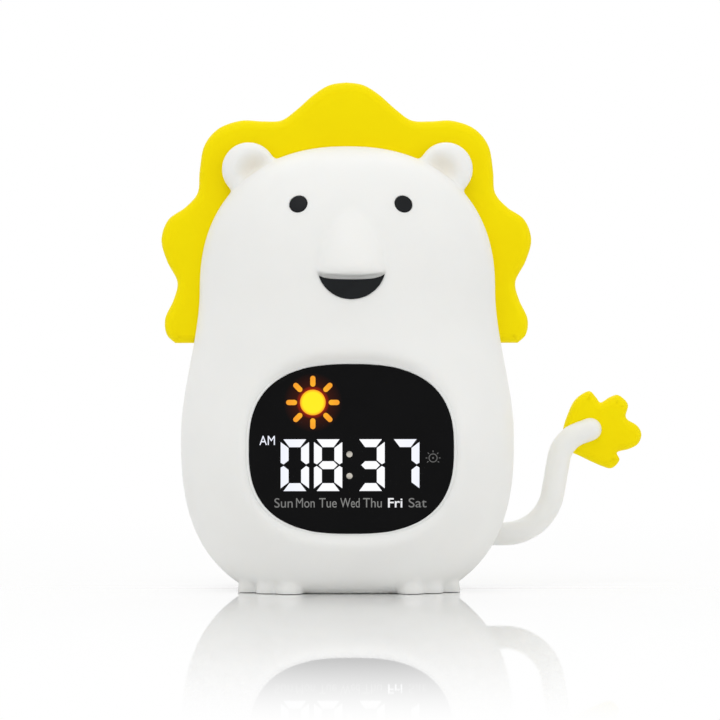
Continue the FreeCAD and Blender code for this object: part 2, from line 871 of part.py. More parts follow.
housing = housing_outer.cut(housing_inner)
front = half_of(housing, -1).fuse(front_additions()).cut(front_cuts())
rear = half_of(housing, 1).fuse(rear_additions()).cut(rear_cuts())
solid_feature("housing_front", front)
solid_feature("housing_rear", rear)


def screw_group(name, places, rotation, spot, length, flip=False):
    """Identical screws in one node, each a separate solid with a plus-shaped recess."""
    body = new_body(name, rotation, *spot)
    head_tall = "Sizes.screw_head_tall"
    heads = new_sketch(body)
    for x, y in places:
        draw_circle(heads, "Sizes.screw_head", x, y)
    pad(body, heads, head_tall, flip)
    shanks = new_sketch(body, "-1 * " + head_tall if flip else head_tall)
    for x, y in places:
        draw_circle(shanks, "Sizes.screw_size * 0.76", x, y)
    pad(body, shanks, length, flip)
    recess = new_sketch(body)
    for x, y in places:
        draw_cross(recess, size("screw_head") * 0.6, size("screw_head") * 0.16, x, y)
    pocket(body, recess, head_tall + " / 2", not flip)


def add_holes(body, diameter, places, length, back=False):
    """Round holes cut from the body's own plane."""
    sketch = new_sketch(body)
    for x, y in places:
        draw_circle(sketch, diameter, x, y)
    pocket(body, sketch, length, back)


# Planes that the pieces share, as expressions of the sheet.

FRONT_PLANE = "(Sizes.skin_wall + Sizes.skin_gap - Sizes.front_seat)"
REAR_PLANE = "(Sizes.rear_seat - Sizes.skin_wall - Sizes.skin_gap)"
DISPLAY_FACE = FRONT_PLANE + " - Sizes.tape_thick + Sizes.fit_gap"
DISPLAY_REAR = DISPLAY_FACE + " + Sizes.diffuser_thick"
DISPLAY_BOARD = DISPLAY_REAR + " + Sizes.reflector_deep + Sizes.fit_gap"
LAMP_PLANE = "Sizes.lamp_shelf_level + Sizes.lamp_shelf_thick"
TRAY_PLANE = "Sizes.skin_wall + Sizes.skin_gap + Sizes.housing_wall + Sizes.base_boss_tall"
BOARD = "Sizes.board_thick"

# Screws of the housing, the boards, the rear panel, the lamp board and the base.

BASE_OFFSETS = four(size("base_screw_x"), size("base_screw_y"))
PANEL_OFFSETS = [(-size("panel_screw_x"), 0.0), (size("panel_screw_x"), 0.0)]
LAMP_OFFSETS = [(x, y - size("lamp_centre")) for x, y in LAMP_POINTS]
LENS_SPOT = ("0", DISPLAY_BOARD, "Sizes.lens_level")
HEAD_TALL = "Sizes.screw_head_tall"
SHORT = "Sizes.short_screw_length"

screw_group("case_screws", CASE_POINTS, FRONT, ("0", "Sizes.case_screw_seat + " + HEAD_TALL, "0"),
            "Sizes.screw_length + Sizes.case_screw_seat - 1")
screw_group("display_screws", DISPLAY_OFFSETS, FRONT,
            ("0", DISPLAY_BOARD + " + Sizes.board_thick + " + HEAD_TALL, "Sizes.lens_level"), SHORT)
screw_group("board_screws", MAIN_OFFSETS, FRONT,
            ("0", "Sizes.main_board_back - Sizes.board_thick - " + HEAD_TALL, "Sizes.panel_level"),
            SHORT + " - 0.4", True)
screw_group("panel_screws", PANEL_OFFSETS, FRONT,
            ("0", REAR_PLANE + " + Sizes.panel_thick - Sizes.button_gap", "Sizes.panel_level"),
            "Sizes.panel_thick + Sizes.housing_wall - Sizes.button_gap - " + HEAD_TALL)
screw_group("lamp_screws", LAMP_OFFSETS, UP,
            ("0", "Sizes.lamp_centre", LAMP_PLANE + " + Sizes.board_thick + " + HEAD_TALL),
            "Sizes.board_thick + Sizes.lamp_shelf_thick", True)
screw_group("base_screws", BASE_OFFSETS, UP, ("0", "0", "Sizes.base_recess + Sizes.fit_gap"), SHORT)

# The display: lens, tape, diffuser, segment block, lamps and board.

lens = new_body("display_lens", FRONT, "0", FRONT_PLANE + " - Sizes.tape_thick", "Sizes.lens_level")
outline = new_sketch(lens)
draw_squircle(outline, size("lens_width"), size("lens_height"))
lens_pad = pad(lens, outline, "Sizes.lens_thick")
doc.recompute()
rim = lens.newObject("PartDesign::Fillet", "display_lens_rim")
front_edges = []
for number, edge in enumerate(lens_pad.Shape.Edges, start=1):
    if edge.BoundBox.ZMin > size("lens_thick") - 0.01:
        front_edges.append("Edge%d" % number)
rim.Base = (lens_pad, front_edges)
rim.setExpression("Radius", "Sizes.lens_round")

tape = new_body("lens_tape", FRONT, "0", FRONT_PLANE, "Sizes.lens_level")
outline = new_sketch(tape)
for inset in (0.2, size("tape_width")):
    draw_squircle(outline, size("lens_width") - 2 * inset, size("lens_height") - 2 * inset)
pad(tape, outline, "Sizes.tape_thick")

WINDOW_GAP = 2 * (size("window_ledge") + size("fit_gap"))
diffuser = new_body("display_diffuser", FRONT, "0", DISPLAY_FACE, "Sizes.lens_level")
outline = new_sketch(diffuser)
draw_squircle(outline, size("lens_width") - WINDOW_GAP, size("lens_height") - WINDOW_GAP)
pad(diffuser, outline, "Sizes.diffuser_thick", True)

DIGITS = (-17.6, -7.2, 6.1, 16.7)
DIGIT_LEVEL = -5.7
DIGIT_WIDE = 8.7
DIGIT_TALL = 16.0
STROKE = 2.4
CELL_SLOT = 1.6


def display_cells():
    """Every light cell: its centre, width and height, seen from the front."""
    cells = []
    side = (DIGIT_WIDE - STROKE) / 2
    end = (DIGIT_TALL - STROKE) / 2
    for x in DIGITS:
        for z in (-end, 0, end):
            cells.append((x, DIGIT_LEVEL + z, DIGIT_WIDE - 2 * STROKE, CELL_SLOT))
        for u in (-side, side):
            for z in (-end / 2, end / 2):
                cells.append((x + u, DIGIT_LEVEL + z, CELL_SLOT, end - STROKE))
    for z in (-3.4, 3.4):
        cells.append((-0.6, DIGIT_LEVEL + z, CELL_SLOT, CELL_SLOT))
    cells.append((-11.9, 13.9, 9.0, 9.0))
    for day in range(7):
        cells.append(((day - 3) * 6.6, -16.6, 5.4, 2.6))
    return cells


def corners_of(x, z, wide, tall):
    """The corners of an upright rectangle."""
    half_u, half_v = wide / 2, tall / 2
    return [
        Vector(x - half_u, z - half_v, 0),
        Vector(x + half_u, z - half_v, 0),
        Vector(x + half_u, z + half_v, 0),
        Vector(x - half_u, z + half_v, 0),
    ]


reflector = new_body("display_reflector", FRONT, "0", DISPLAY_REAR, "Sizes.lens_level")
outline = new_sketch(reflector)
draw_squircle(outline, size("lens_width") - WINDOW_GAP, size("lens_height") - WINDOW_GAP)
pad(reflector, outline, "Sizes.reflector_deep", True)
holes = new_sketch(reflector)
for x, z, wide, tall in display_cells():
    draw_polygon(holes, corners_of(x, z, wide, tall))
pocket(reflector, holes, "Sizes.reflector_deep")

display_leds = new_body("display_leds", FRONT, *LENS_SPOT)
outline = new_sketch(display_leds)
for x, z, wide, tall in display_cells():
    draw_polygon(outline, corners_of(x, z, 1.2, 1.0))
pad(display_leds, outline, "0.7")

display_board = new_body("display_board", FRONT, *LENS_SPOT)
outline = new_sketch(display_board)
draw_rectangle(outline, "Sizes.display_board_width", "Sizes.display_board_height")
pad(display_board, outline, BOARD, True)
add_holes(display_board, "Sizes.screw_size + 0.2", DISPLAY_OFFSETS, BOARD)

# The night light: a round board with a ring of lamps on the housing's shelf.

lamp_board = new_body("lamp_board", UP, "0", "Sizes.lamp_centre", LAMP_PLANE)
outline = new_sketch(lamp_board)
draw_circle(outline, "Sizes.lamp_board_size")
pad(lamp_board, outline, BOARD)
add_holes(lamp_board, "Sizes.screw_size + 0.2", LAMP_OFFSETS, BOARD, True)

lamp_leds = new_body("lamp_leds", UP, "0", "Sizes.lamp_centre", LAMP_PLANE + " + Sizes.board_thick")
outline = new_sketch(lamp_leds)
for index in range(int(size("lamp_count"))):
    turn = 2 * math.pi * index / size("lamp_count")
    x = size("lamp_ring") * math.cos(turn)
    y = size("lamp_ring") * math.sin(turn)
    draw_polygon(outline, corners_of(x, y, size("led_size"), size("led_size")))
pad(lamp_leds, outline, "Sizes.led_tall")

# The main board behind the rear panel, with its chips, switches and socket.

BOARD_FRONT = "Sizes.main_board_back - Sizes.board_thick"
main_board = new_body("main_board", FRONT, "0", "Sizes.main_board_back", "Sizes.panel_level")
outline = new_sketch(main_board)
draw_rectangle(outline, "Sizes.main_board_width", "Sizes.main_board_height")
draw_circle(outline, "Sizes.speaker_size + 2", "0", "-1 * Sizes.speaker_level")
pad(main_board, outline, BOARD)
add_holes(main_board, "Sizes.screw_size + 0.2", MAIN_OFFSETS, BOARD, True)

# Each chip's middle on the board, its width and its height.
CHIPS = (
    (-19.0, 5.0, 9.0, 9.0),
    (19.0, 4.0, 6.0, 5.0),
    (20.0, -7.0, 5.0, 5.0),
    (0.0, 10.0, 10.0, 4.0),
)
chips = new_body("board_chips", FRONT, "0", BOARD_FRONT, "Sizes.panel_level")
outline = new_sketch(chips)
for x, z, wide, tall in CHIPS:
    draw_polygon(outline, corners_of(x, z, wide, tall))
pad(chips, outline, "Sizes.chip_tall")

BUTTON_NAMES = ("light", "down", "set", "up", "alarm")


def button_x(index):
    """The middle of a button, counted from the left as seen from the front."""
    return "%d * Sizes.button_pitch" % (index - 2)


switches = new_body("tact_switches", FRONT, "0", "Sizes.main_board_back", "Sizes.panel_level")
outline = new_sketch(switches)
for index in range(len(BUTTON_NAMES)):
    draw_rectangle(outline, "Sizes.switch_size", "Sizes.switch_size", button_x(index), "Sizes.button_level")
pad(switches, outline, "Sizes.switch_tall", True)
wells = new_sketch(switches, "-0.8")
for index in range(len(BUTTON_NAMES)):
    draw_circle(wells, "Sizes.plunger_size + 2 * Sizes.fit_gap", button_x(index), "Sizes.button_level")
pocket(switches, wells, "Sizes.switch_tall")

FLANGE_BACK = REAR_PLANE + " - Sizes.button_gap"
FLANGE_FRONT = FLANGE_BACK + " - Sizes.button_flange_thick"
for index, name in enumerate(BUTTON_NAMES):
    level = "Sizes.panel_level + Sizes.button_level"
    plunger = new_body(name + "_plunger", FRONT, button_x(index), FLANGE_FRONT, level)
    outline = new_sketch(plunger)
    draw_circle(outline, "Sizes.plunger_size")
    pad(plunger, outline, "(%s) - Sizes.main_board_back - 1.6" % FLANGE_FRONT)
    button = new_body(name + "_button", FRONT, button_x(index), FLANGE_BACK, level)
    outline = new_sketch(button)
    draw_circle(outline, "Sizes.button_flange")
    pad(button, outline, "Sizes.button_flange_thick")
    cap = new_sketch(button)
    draw_circle(cap, "Sizes.button_size")
    pad(button, cap, "Sizes.button_gap + Sizes.panel_thick + Sizes.button_proud", True)

slide_x = "-1 * Sizes.side_part_x"
slide_level = "-1 * Sizes.side_part_level"
SLOT_WIDE = "(Sizes.knob_width + Sizes.slide_travel + 2 * Sizes.button_gap)"
SLOT_TALL = "(Sizes.knob_height + 2 * Sizes.button_gap)"
switch_case = new_body("power_switch_case", FRONT, "0", "Sizes.main_board_back", "Sizes.panel_level")
outline = new_sketch(switch_case)
draw_rectangle(outline, SLOT_WIDE + " + 2.4", SLOT_TALL + " + 2", slide_x, slide_level)
pad(switch_case, outline, "Sizes.switch_tall", True)
slot = new_sketch(switch_case, "-1")
draw_rectangle(slot, SLOT_WIDE, SLOT_TALL, slide_x, slide_level)
pocket(switch_case, slot, "Sizes.switch_tall")

KNOB_FRONT = "Sizes.main_board_back + 1.4"
knob = new_body("power_switch_knob", FRONT, "0", KNOB_FRONT, "Sizes.panel_level")
outline = new_sketch(knob)
knob_x = slide_x + " - Sizes.slide_travel / 2"
draw_rectangle(outline, "Sizes.knob_width", "Sizes.knob_height", knob_x, slide_level)
pad(knob, outline, REAR_PLANE + " + Sizes.panel_thick + Sizes.knob_proud - (%s)" % KNOB_FRONT, True)

usb = new_body("usb_socket", FRONT, "0", "Sizes.main_board_back", "Sizes.panel_level")
outline = new_sketch(usb)
draw_rectangle(outline, "Sizes.usb_width", "Sizes.usb_height", "Sizes.side_part_x", slide_level)
pad(usb, outline, "Sizes.usb_deep", True)
mouth_hole = new_sketch(usb, "-1.2")
usb_shell = " - 2 * Sizes.usb_wall"
draw_rectangle(mouth_hole, "Sizes.usb_width" + usb_shell, "Sizes.usb_height" + usb_shell,
               "Sizes.side_part_x", slide_level)
pocket(usb, mouth_hole, "Sizes.usb_deep")
tongue = new_sketch(usb, "-1")
draw_rectangle(tongue, "Sizes.usb_width - 2.4", "0.7", "Sizes.side_part_x", slide_level)
pad(usb, tongue, "Sizes.usb_deep - 1.6", True)

# The rear panel with its holes, and the speaker behind its grille.

panel = new_body("rear_panel", FRONT, "0", REAR_PLANE, "Sizes.panel_level")
outline = new_sketch(panel)
draw_squircle(outline, size("panel_width"), size("panel_height"))
pad(panel, outline, "Sizes.panel_thick", True)
holes = new_sketch(panel)
for index in range(len(BUTTON_NAMES)):
    draw_circle(holes, "Sizes.button_size + 2 * Sizes.button_gap", button_x(index), "Sizes.button_level")
draw_rectangle(holes, SLOT_WIDE, SLOT_TALL, slide_x, slide_level)
draw_rectangle(holes, "Sizes.usb_width + 0.8", "Sizes.usb_height + 0.8", "Sizes.side_part_x", slide_level)
pocket(panel, holes, "Sizes.panel_thick")
grille = [(0.0, 0.0)]
for ring, count in ((1, 6), (2, 12)):
    for index in range(count):
        turn = 2 * math.pi * index / count
        reach = ring * size("grille_pitch")
        grille.append((reach * math.cos(turn), reach * math.sin(turn)))
grille = [(x, z - size("speaker_level")) for x, z in grille]
add_holes(panel, "Sizes.grille_hole", grille, "Sizes.panel_thick")
add_holes(panel, "Sizes.screw_size + 0.2", PANEL_OFFSETS, "Sizes.panel_thick")
bores = new_sketch(panel, "-1 * (Sizes.panel_thick - Sizes.screw_head_tall - Sizes.button_gap)")
for x, z in PANEL_OFFSETS:
    draw_circle(bores, "Sizes.screw_head + 0.4", x, z)
pocket(panel, bores, "Sizes.panel_thick")

SPEAKER = "Sizes.panel_level - Sizes.speaker_level"
gasket = new_body("speaker_gasket", FRONT, "0", REAR_PLANE, SPEAKER)
outline = new_sketch(gasket)
draw_circle(outline, "Sizes.speaker_size")
draw_circle(outline, "Sizes.speaker_size - 4")
pad(gasket, outline, "Sizes.gasket_thick")

frame = new_body("speaker_frame", FRONT, "0", REAR_PLANE + " - Sizes.gasket_thick", SPEAKER)
outline = new_sketch(frame)
draw_circle(outline, "Sizes.speaker_size")
pad(frame, outline, "Sizes.speaker_tall")
add_holes(frame, "Sizes.speaker_size - 3.6", [(0.0, 0.0)], "Sizes.speaker_tall - 1.2", True)

SPEAKER_FRONT = REAR_PLANE + " - Sizes.gasket_thick - Sizes.speaker_tall"
magnet = new_body("speaker_magnet", FRONT, "0", SPEAKER_FRONT, SPEAKER)
outline = new_sketch(magnet)
draw_circle(outline, "Sizes.magnet_size")
pad(magnet, outline, "Sizes.magnet_tall")

cone_deep = "Sizes.speaker_tall - 1.2"
cones = []
for grow in ("0", "0.4"):
    cone = doc.addObject("Part::Cone", "cone_blank")
    cone.setExpression("Radius1", "Sizes.speaker_size / 2 - 2 - " + grow)
    cone.setExpression("Radius2", "2.4 - " + grow)
    cone.setExpression("Height", cone_deep)
    cone.Placement = FreeCAD.Placement(Vector(), FRONT)
    cone.setExpression("Placement.Base.y", REAR_PLANE + " - Sizes.gasket_thick")
    cone.setExpression("Placement.Base.z", SPEAKER)
    cones.append(cone)
speaker_cone = doc.addObject("Part::Cut", "speaker_cone")
speaker_cone.Base = cones[0]
speaker_cone.Tool = cones[1]
speaker_cone.Label = "speaker_cone"

# The base cover with its feet, and the battery in its tray.

cover = new_body("base_cover", UP, "0", "0", "Sizes.base_recess")
outline = new_sketch(cover)
half_cover = (size("base_width") / 2 - FIT, size("base_depth") / 2 - FIT)
outline.addGeometry(squircle_curve(*half_cover, BODY_SQUARENESS, Vector), False)
COVER_THICK = "(Sizes.skin_wall + Sizes.skin_gap - Sizes.base_recess)"
pad(cover, outline, COVER_THICK)
FOOT_OFFSETS = four(size("foot_x"), size("foot_y"))
add_holes(cover, "Sizes.foot_size + 0.2", FOOT_OFFSETS, "Sizes.foot_tall - Sizes.base_recess", True)
add_holes(cover, "Sizes.screw_size + 0.2", BASE_OFFSETS, COVER_THICK, True)
add_holes(cover, "Sizes.screw_head + 0.4", BASE_OFFSETS, "Sizes.screw_head_tall + Sizes.fit_gap", True)

feet = new_body("rubber_feet", UP)
outline = new_sketch(feet)
for x, y in FOOT_OFFSETS:
    draw_circle(outline, "Sizes.foot_size", x, y)
pad(feet, outline, "Sizes.foot_tall")

TRAY_WIDE = "(Sizes.battery_length + 0.6)"
TRAY_DEEP = "(Sizes.battery_width + 0.6)"
tray = new_body("battery_tray", UP, "0", "0", TRAY_PLANE)
outline = new_sketch(tray)
draw_rectangle(outline, TRAY_WIDE + " + 2 * Sizes.tray_wall", TRAY_DEEP + " + 2 * Sizes.tray_wall")
pad(tray, outline, "Sizes.tray_tall")
well = new_sketch(tray, "Sizes.tray_wall")
draw_rectangle(well, TRAY_WIDE, TRAY_DEEP)
pocket(tray, well, "Sizes.tray_tall", True)

foam = new_body("battery_pad", UP, "0", "0", TRAY_PLANE + " + Sizes.tray_wall")
outline = new_sketch(foam)
draw_rectangle(outline, "Sizes.battery_length - 4", "Sizes.battery_width - 4")
pad(foam, outline, "Sizes.pad_thick")

battery = new_body("battery_cell", UP, "0", "0", TRAY_PLANE + " + Sizes.tray_wall + Sizes.pad_thick")
outline = new_sketch(battery)
draw_rectangle(outline, "Sizes.battery_length", "Sizes.battery_width")
pad(battery, outline, "Sizes.battery_thick")

# The leads and the flat cable, each a run with rounded bends between two pieces.


def wire_pair(name, middle_x, corners, bend):
    """Two round wires side by side, through the same corners in the plane x = middle_x."""
    wires = []
    for side in (-1, 1):
        x = middle_x + side * size("wire_pitch") / 2
        points = [Vector(x, y, z) for y, z in corners]
        edges = []
        start = points[0]
        for before, corner, after in zip(points, points[1:], points[2:]):
            back = (before - corner).normalize() * bend
            ahead = (after - corner).normalize() * bend
            enter = corner + back
            leave = corner + ahead
            centre = corner + back + ahead
            middle = centre + (corner - centre).normalize() * bend
            edges.append(Part.makeLine(start, enter))
            edges.append(Part.Arc(enter, middle, leave).toShape())
            start = leave
        edges.append(Part.makeLine(start, points[-1]))
        path = Part.Wire(edges)
        profile = Part.Wire(Part.makeCircle(size("wire_size") / 2, points[0], points[1] - points[0]))
        wires.append(path.makePipeShell([profile], True, False))
    return solid_feature(name, Part.makeCompound(wires))


board_front = size("main_board_back") - size("board_thick")
battery_side = size("battery_width") / 2
battery_top = TRAY_FLOOR + size("tray_wall") + size("pad_thick") + size("battery_thick")
lead_level = battery_top - 1.6
battery_run = [(battery_side, lead_level), (24.0, lead_level), (24.0, 30.0), (board_front, 30.0)]
lamp_run = [(board_front, 63.0), (LAMP_WIRE_Y, 63.0), (LAMP_WIRE_Y, LAMP_TOP)]
wire_pair("battery_leads", -14.0, battery_run, 2.5)
wire_pair("lamp_leads", LAMP_WIRE_X, lamp_run, 3.0)

ribbon = new_body("display_ribbon", FRONT, "0", BOARD_FRONT, "Sizes.panel_level")
outline = new_sketch(ribbon)
draw_rectangle(outline, "Sizes.ribbon_width", "Sizes.ribbon_thick", "0", "Sizes.ribbon_level")
pad(ribbon, outline, "%s - (%s) - Sizes.board_thick" % (BOARD_FRONT, DISPLAY_BOARD))

RIGHT = FreeCAD.Rotation(Y_AXIS, 90)
CLIP_SIDE = "Sizes.tail_start + Sizes.clip_inset"
clip = new_body("tail_clip", RIGHT, CLIP_SIDE, "Sizes.tail_back", "Sizes.tail_level")
outline = new_sketch(clip)
draw_circle(outline, "Sizes.clip_size")
draw_circle(outline, "Sizes.tail_size + 2 * Sizes.fit_gap")
pad(clip, outline, "Sizes.clip_thick")

# Check every object, then write each sub-part to its own file.

doc.recompute()
for item in doc.Objects:
    for state in item.State:
        if state in ("Invalid", "Error"):
            raise RuntimeError("%s is %s" % (item.Label, state))

helpers = {cone.Name for cone in cones}
KINDS = ("PartDesign::Body", "Part::Feature", "Part::Cut")
subparts = [item for item in doc.Objects if item.TypeId in KINDS and item.Name not in helpers]
os.makedirs("parts", exist_ok=True)
for item in subparts:
    if item.Shape.isNull() or not item.Shape.isValid() or not item.Shape.Solids:
        raise RuntimeError("%s has no sound solid" % item.Label)
for item in subparts:
    item.Shape.exportStep(os.path.join("parts", item.Label + ".step"))
print("wrote", len(subparts), "sub-parts")
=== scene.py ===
# %% [markdown]
# The clock is an animal-shaped night light: a soft white silicone body over a rigid housing, a yellow
# mane and tail tuft, a dark display window in the belly and a row of push buttons behind. The
# mechanical model could be modelled again here, but it is loaded instead, because it already has the
# true sizes and the moving bodies. It stays where it is, and every piece made here rides on its bodies.

# %% Load the frame
import bpy
import bmesh
import json
import math
import numpy as np
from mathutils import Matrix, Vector

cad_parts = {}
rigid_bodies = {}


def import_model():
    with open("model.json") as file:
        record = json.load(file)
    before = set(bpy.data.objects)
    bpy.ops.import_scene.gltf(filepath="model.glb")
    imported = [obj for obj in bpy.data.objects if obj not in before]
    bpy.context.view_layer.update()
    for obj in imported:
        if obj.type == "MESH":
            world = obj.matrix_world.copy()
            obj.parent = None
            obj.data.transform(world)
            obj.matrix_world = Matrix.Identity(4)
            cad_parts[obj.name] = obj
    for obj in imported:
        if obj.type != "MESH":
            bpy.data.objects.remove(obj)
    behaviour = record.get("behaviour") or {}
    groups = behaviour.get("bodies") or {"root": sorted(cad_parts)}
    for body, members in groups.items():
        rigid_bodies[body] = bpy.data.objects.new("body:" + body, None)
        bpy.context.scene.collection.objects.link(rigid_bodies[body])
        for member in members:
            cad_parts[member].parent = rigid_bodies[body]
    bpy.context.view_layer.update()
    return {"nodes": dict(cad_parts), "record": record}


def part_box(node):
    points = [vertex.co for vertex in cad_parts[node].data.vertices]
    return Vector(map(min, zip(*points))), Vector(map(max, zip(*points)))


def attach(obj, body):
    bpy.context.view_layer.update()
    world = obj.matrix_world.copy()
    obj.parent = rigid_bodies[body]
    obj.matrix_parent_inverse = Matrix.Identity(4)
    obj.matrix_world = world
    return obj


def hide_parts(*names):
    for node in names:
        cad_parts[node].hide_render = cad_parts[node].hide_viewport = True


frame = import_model()
NODES = frame["nodes"]
MM = 0.001

# %% [markdown]
# The photograph was taken with a long lens, a little to one side and a little above the middle of the
# clock. A camera could be placed by eye in the viewport. Here the distance and the millimetres in one
# pixel give the focal length, so that a form in the render can be measured against the photograph. The
# camera comes first, so that each later look is judged from the right place.

# %% Camera
FRAME_PIXELS = 720
MM_PER_PIXEL = 0.3155
CAMERA_DISTANCE = 2500 * MM
CAMERA_AZIMUTH = math.radians(-2.0)
CAMERA_ELEVATION = math.radians(1.5)
LOOK_AT = Vector((4.0, 0.0, 72.4)) * MM
SENSOR_WIDTH = 36.0


def place_in_scene(name, data):
    """Wrap a mesh, a curve, a lamp or a camera in an object that the scene shows."""
    thing = bpy.data.objects.new(name, data)
    bpy.context.scene.collection.objects.link(thing)
    return thing


def make_camera():
    """A long lens aimed at the middle of the picture."""
    data = bpy.data.cameras.new("photo_camera")
    camera = place_in_scene("photo_camera", data)
    level = math.cos(CAMERA_ELEVATION)
    back = Vector((
        math.sin(CAMERA_AZIMUTH) * level,
        -math.cos(CAMERA_AZIMUTH) * level,
        math.sin(CAMERA_ELEVATION),
    ))
    camera.location = LOOK_AT + back * CAMERA_DISTANCE
    camera.rotation_mode = "QUATERNION"
    camera.rotation_quaternion = (-back).to_track_quat("-Z", "Y")
    data.sensor_width = SENSOR_WIDTH
    data.lens = SENSOR_WIDTH * CAMERA_DISTANCE / (FRAME_PIXELS * MM_PER_PIXEL * MM)
    data.clip_start = 0.01
    data.clip_end = 20.0
    bpy.context.scene.camera = camera
    return camera


camera = make_camera()
print("lens", round(camera.data.lens, 1), "mm")

# %% [markdown]
# Every piece below needs the same few steps: a mesh from points, a modifier made real, a cut. These
# could be done by hand in edit mode, but then nothing could be changed afterwards. The boolean uses
# Blender's manifold solver, because it keeps each result closed.

# %% Mesh helpers
def new_piece(name, vertices, faces):
    """An object from vertices in metres and faces, shaded smooth."""
    mesh = bpy.data.meshes.new(name)
    mesh.from_pydata([tuple(v) for v in vertices], [], faces)
    mesh.validate()
    mesh.shade_smooth()
    return place_in_scene(name, mesh)


def apply_modifiers(piece):
    """Put the result of the modifiers into the mesh."""
    graph = bpy.context.evaluated_depsgraph_get()
    mesh = bpy.data.meshes.new_from_object(piece.evaluated_get(graph))
    old = piece.data
    piece.modifiers.clear()
    piece.data = mesh
    bpy.data.meshes.remove(old)
    return piece


def remove(*pieces):
    """Delete helper objects that were only used for cutting."""
    for piece in pieces:
        bpy.data.objects.remove(piece, do_unlink=True)


def combine(piece, other, operation):
    """Unite or cut with another closed mesh, which is then removed."""
    step = piece.modifiers.new("combine", "BOOLEAN")
    step.operation = operation
    step.solver = "MANIFOLD"
    step.object = other
    apply_modifiers(piece)
    remove(other)
    return piece


def smooth_by_angle(piece, degrees=50):
    """Keep crisp edges above an angle and shade the rest smooth."""
    piece.data.shade_smooth()
    sharp = math.radians(degrees)
    work = bmesh.new()
    work.from_mesh(piece.data)
    for edge in work.edges:
        edge.smooth = not (edge.is_manifold and edge.calc_face_angle(0.0) > sharp)
    work.to_mesh(piece.data)
    work.free()


print("mesh helpers ready")

# %% [markdown]
# Most forms of a soft moulding can be seen as a stack of closed outlines. A skin over such rings could
# be made with a loft from an add-on or with bridged edge loops. Writing the faces directly gives an
# even grid of quads and a known count, which the later shaping relies on.

# %% Rings and tubes
def ring_faces(rings, count, first=0):
    """Quads between rings of vertices that are stored one after another."""
    faces = []
    for ring in range(rings - 1):
        low = first + ring * count
        for index in range(count):
            after = (index + 1) % count
            faces.append((low + index, low + after, low + count + after, low + count + index))
    return faces


def capped_tube(name, rings):
    """A closed piece through rings of points, with a flat cap at each end."""
    count = len(rings[0])
    vertices = [point for ring in rings for point in ring]
    faces = ring_faces(len(rings), count)
    faces.append(tuple(reversed(range(count))))
    faces.append(tuple(range(len(vertices) - count, len(vertices))))
    return new_piece(name, vertices, faces)


print("ring helpers ready")

# %% [markdown]
# The body is one soft form that swells at the belly and narrows to a domed head. It could be sculpted
# or built from a subdivided cube. A few widths and depths with a rounded-square curve between them are
# used instead, the same as in the solid model, so the silicone stays in the same space as its housing.

# %% Body form
BODY_WIDTH = 105.0
BODY_DEPTH = 89.0
BODY_HEIGHT = 139.8
HEAD_WIDTH = 93.0
HEAD_DEPTH = 78.0
BELLY_LEVEL = 48.0
HEAD_LEVEL = 95.0
BASE_SINK = 5.5
PLAN_POWER = 2.5
DOME_WIDTH_POWER = 2.25
DOME_DEPTH_POWER = 2.8
BASE_POWER = 2.6


def power_arc(share, power):
    """One quarter of a rounded-square curve."""
    return (1 - np.minimum(np.abs(share), 1) ** power) ** (1 / power)


def half_extent(level, belly, head, dome_power, inset):
    """Half the body's width or depth at a level, in millimetres."""
    if level >= HEAD_LEVEL:
        share = (level - HEAD_LEVEL) / (BODY_HEIGHT - inset - HEAD_LEVEL)
        return (head / 2 - inset) * power_arc(share, dome_power)
    if level >= BELLY_LEVEL:
        share = (HEAD_LEVEL - level) / (HEAD_LEVEL - BELLY_LEVEL)
        blend = share * share * (3 - 2 * share)
        return head / 2 - inset + (belly - head) / 2 * blend
    share = (BELLY_LEVEL - level) / (BELLY_LEVEL + BASE_SINK - inset)
    return (belly / 2 - inset) * power_arc(share, BASE_POWER)


def half_width(level, inset=0.0):
    """Half the body's width at a level."""
    return half_extent(level, BODY_WIDTH, HEAD_WIDTH, DOME_WIDTH_POWER, inset)


def half_depth(level, inset=0.0):
    """Half the body's depth at a level."""
    return half_extent(level, BODY_DEPTH, HEAD_DEPTH, DOME_DEPTH_POWER, inset)


def surface_y(x, level, inset=0.0):
    """How far the body's front stands from its middle plane, in millimetres."""
    return half_depth(level, inset) * power_arc(x / half_width(level, inset), PLAN_POWER)


print("half the belly:", round(float(half_width(BELLY_LEVEL)), 1), "mm")

# %% [markdown]
# The rings have to lie closer together where the outline curves in quickly, at the base and at the
# crown, or flat facets show against the white background. Even steps with many more rings would also do
# it. Steps of equal turn put the rings where they are needed and keep the mesh light.

# %% Levels of the body
BASE_STEPS = 30
WAIST_STEPS = 34
CROWN_STEPS = 44
CROWN_TURN = math.radians(89.0)


def body_levels(floor, inset):
    """Levels from the floor to the crown, closer together where the outline curves in."""
    levels = []
    drop = BELLY_LEVEL + BASE_SINK - inset
    turn = math.asin(((BELLY_LEVEL - floor) / drop) ** (BASE_POWER / 2))
    for step in range(BASE_STEPS, 0, -1):
        levels.append(BELLY_LEVEL - drop * math.sin(turn * step / BASE_STEPS) ** (2 / BASE_POWER))
    for step in range(WAIST_STEPS):
        levels.append(BELLY_LEVEL + (HEAD_LEVEL - BELLY_LEVEL) * step / WAIST_STEPS)
    rise = BODY_HEIGHT - inset - HEAD_LEVEL
    for step in range(CROWN_STEPS + 1):
        bend = math.sin(CROWN_TURN * step / CROWN_STEPS) ** (2 / DOME_WIDTH_POWER)
        levels.append(HEAD_LEVEL + rise * bend)
    return levels


def rounded_outline(power, count):
    """Evenly turned points on a rounded square of half size 1."""
    turns = np.arange(count) * 2 * math.pi / count
    cosines, sines = np.cos(turns), np.sin(turns)
    reach = (np.abs(cosines) ** power + np.abs(sines) ** power) ** (-1 / power)
    return np.column_stack([cosines * reach, sines * reach])


